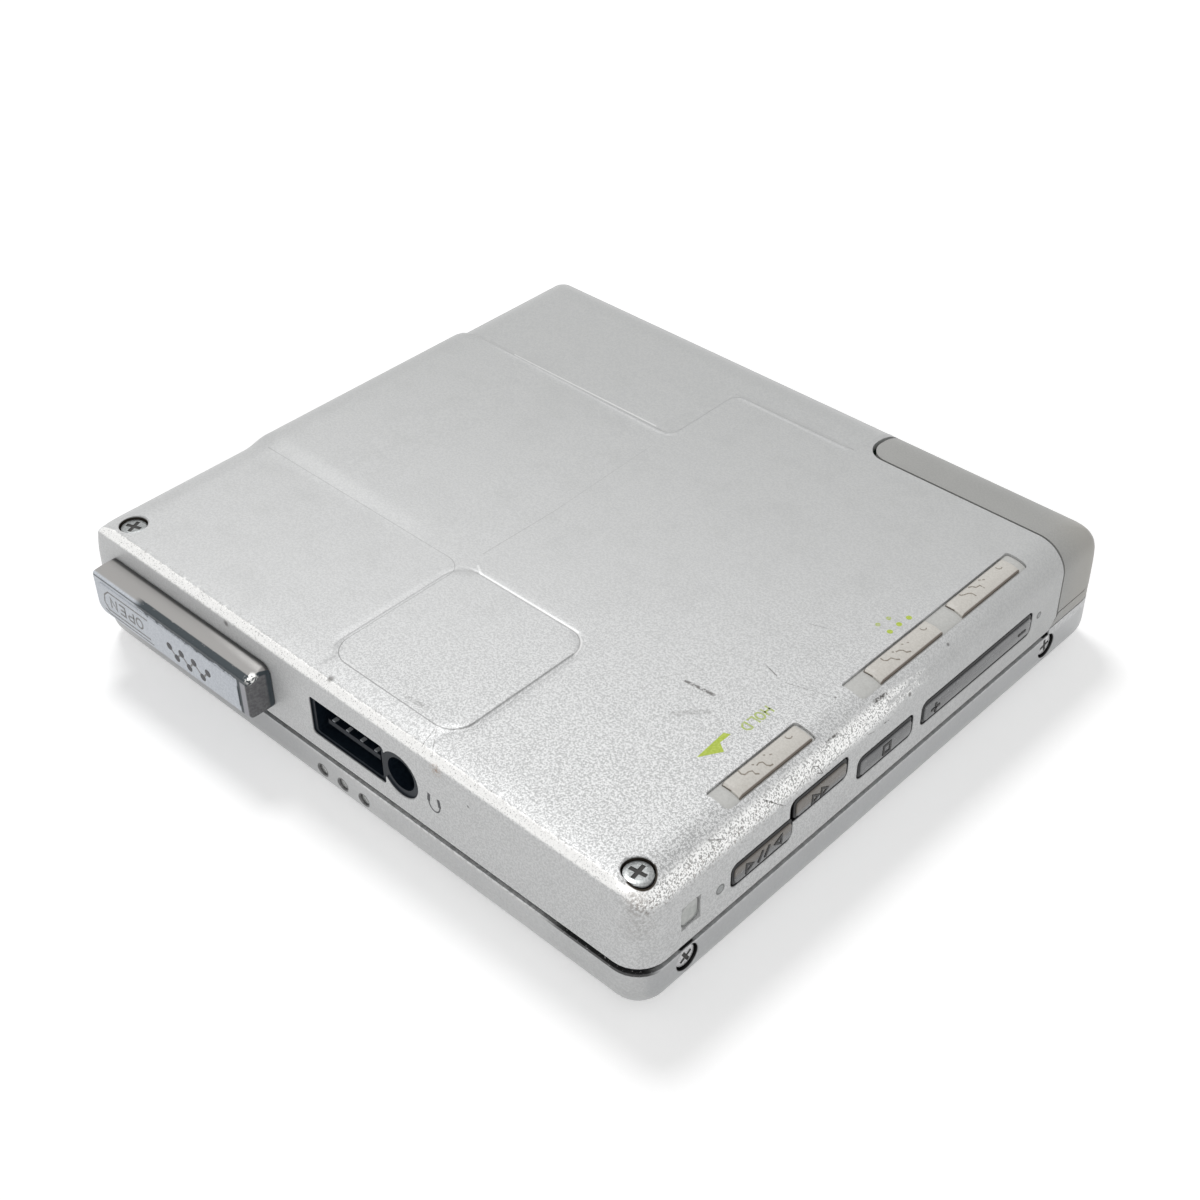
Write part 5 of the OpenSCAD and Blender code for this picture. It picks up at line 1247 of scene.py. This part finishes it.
phones = stroke(bow(14.3, 10.0, 0.75, 1.0, range(185, 360, 15)), 0.15, -HALF_D + 0.02, -HALF_D - PRINT, on_front)
for x, lean in ((13.55, 0.1), (15.0, -0.1)):
    stroke([(x, 10.0), (x + lean, 10.75)], 0.36, -HALF_D + 0.02, -HALF_D - PRINT, on_front, phones)
make("headphone_symbol", phones, "cover_paint", "player", look="dark_print")

# Small raised points beside the keys
for k, (y, z, r) in enumerate(POINTS):
    point = dome(y, z, r, HALF_W - 0.05, HALF_W, 0.02, on_side, 20)
    make("point_%d" % (k + 1), point, "cover_paint", "player", look="cover_screw")

# Slot floors under the knobs, with a slit for each stem
for k, ((y0, y1), knobs) in enumerate(zip(SLOTS, (("hold",), ("preset", "limit")))):
    bar = profile(35.0, 37.9, floor_height, 14.92, y0 - 1, y1 + 1)
    tray = cut(bar, prism(slot_outline(y0, y1, 0.05), 14.0, 17.0, on_top), "INTERSECT")
    for name in knobs:
        middle = sum(KNOBS[name]) / 2
        tray = cut(tray, box(36.1, 36.7, middle - 0.9 - TRAVEL[name], middle + 0.9, 14.0, 17.0))
    make("slot_floor_%d" % (k + 1), tray, "knob_plastic", "player", look="slot_floor")

# The frame's own nodes take their slot's material, but three have a look of their own
OWN_LOOKS = {"charging_contacts": "worn_contact", "remote_contacts": "dull_contact", "main_frame": "frame_plastic"}
slots = {item["node"]: item["material_slot"] for item in frame["record"]["subparts"]}
for name, node in frame["nodes"].items():
    node.data.materials.clear()
    node.data.materials.append(LOOKS[OWN_LOOKS.get(name, slots[name])].material)

# Camera, floor and light


def matrix_from(azimuth, elevation, roll, location):
    az, el, ro = (math.radians(v) for v in (azimuth, elevation, roll))
    back = Vector((math.sin(az) * math.cos(el), -math.cos(az) * math.cos(el), math.sin(el)))
    right = (-back).cross(Vector((0, 0, 1))).normalized()
    up = right.cross(-back)
    turned_right = math.cos(ro) * right + math.sin(ro) * up
    turned_up = -math.sin(ro) * right + math.cos(ro) * up
    made = Matrix((turned_right, turned_up, back)).transposed().to_4x4()
    made.translation = Vector(location) * MM
    return made


# Focal length and width of the photo in its own pixels
FOCAL_PX = 1843.1
PHOTO_PX = 1200
lens = bpy.data.cameras.new("camera")
lens.sensor_width = 36.0
lens.lens = FOCAL_PX / PHOTO_PX * lens.sensor_width
lens.clip_start = 0.005
camera = bpy.data.objects.new("camera", lens)
scene.collection.objects.link(camera)
camera.matrix_world = matrix_from(43.84, 39.07, -0.82, (106.57, -110.12, 128.65))
scene.camera = camera


def area_light(name, location, size, watts):
    data = bpy.data.lights.new(name, "AREA")
    data.shape = "DISK"
    data.size = size
    data.energy = watts
    made = bpy.data.objects.new(name, data)
    scene.collection.objects.link(made)
    made.location = location
    made.rotation_euler = (-Vector(location)).to_track_quat("-Z", "Y").to_euler()


area_light("key_light", (-0.22, 0.10, 0.55), 0.16, 1.22)
area_light("fill_light", (0.40, -0.42, 0.38), 0.5, 0.85)

# The lamps light the part; the white surroundings light it less than they look
world = bpy.data.worlds.new("world")
scene.world = world
sky = Nodes(world)
level = sky.ramp(sky.seen("Camera", "Glossy", "Transmission"), 0.0, 1.0, 0.45, 1.0)
sky.add("OutputWorld", sky.add("Background", (1.0, 1.0, 1.0, 1.0), level).outputs[0])


def floor_material():
    """White; the far floor, which the lamps don't reach, glows more, so that it stays as pale as the near one."""
    made = bpy.data.materials.new("floor")
    nodes = Nodes(made)
    reach = nodes.vector("LENGTH", nodes.add("TexCoord").outputs["Object"])
    strength = nodes.math("MULTIPLY", nodes.seen("Camera", "Glossy"), nodes.ramp(reach, 0.25, 0.8, 0.29, 0.62))
    diffuse = nodes.add("BsdfDiffuse", (0.94, 0.94, 0.94, 1.0))
    glow = nodes.add("Emission", inputs={"Strength": strength})
    nodes.add("OutputMaterial", nodes.add("AddShader", diffuse.outputs[0], glow.outputs[0]).outputs[0])
    return made


mesh = bpy.data.meshes.new("floor")
corners = ((-3, -3), (3, -3), (3, 3), (-3, 3))
mesh.from_pydata([(x, y, -0.05 * MM) for x, y in corners], [], [(0, 1, 2, 3)])
mesh.materials.append(floor_material())
floor = bpy.data.objects.new("floor", mesh)
scene.collection.objects.link(floor)

scene.view_settings.view_transform = "Standard"
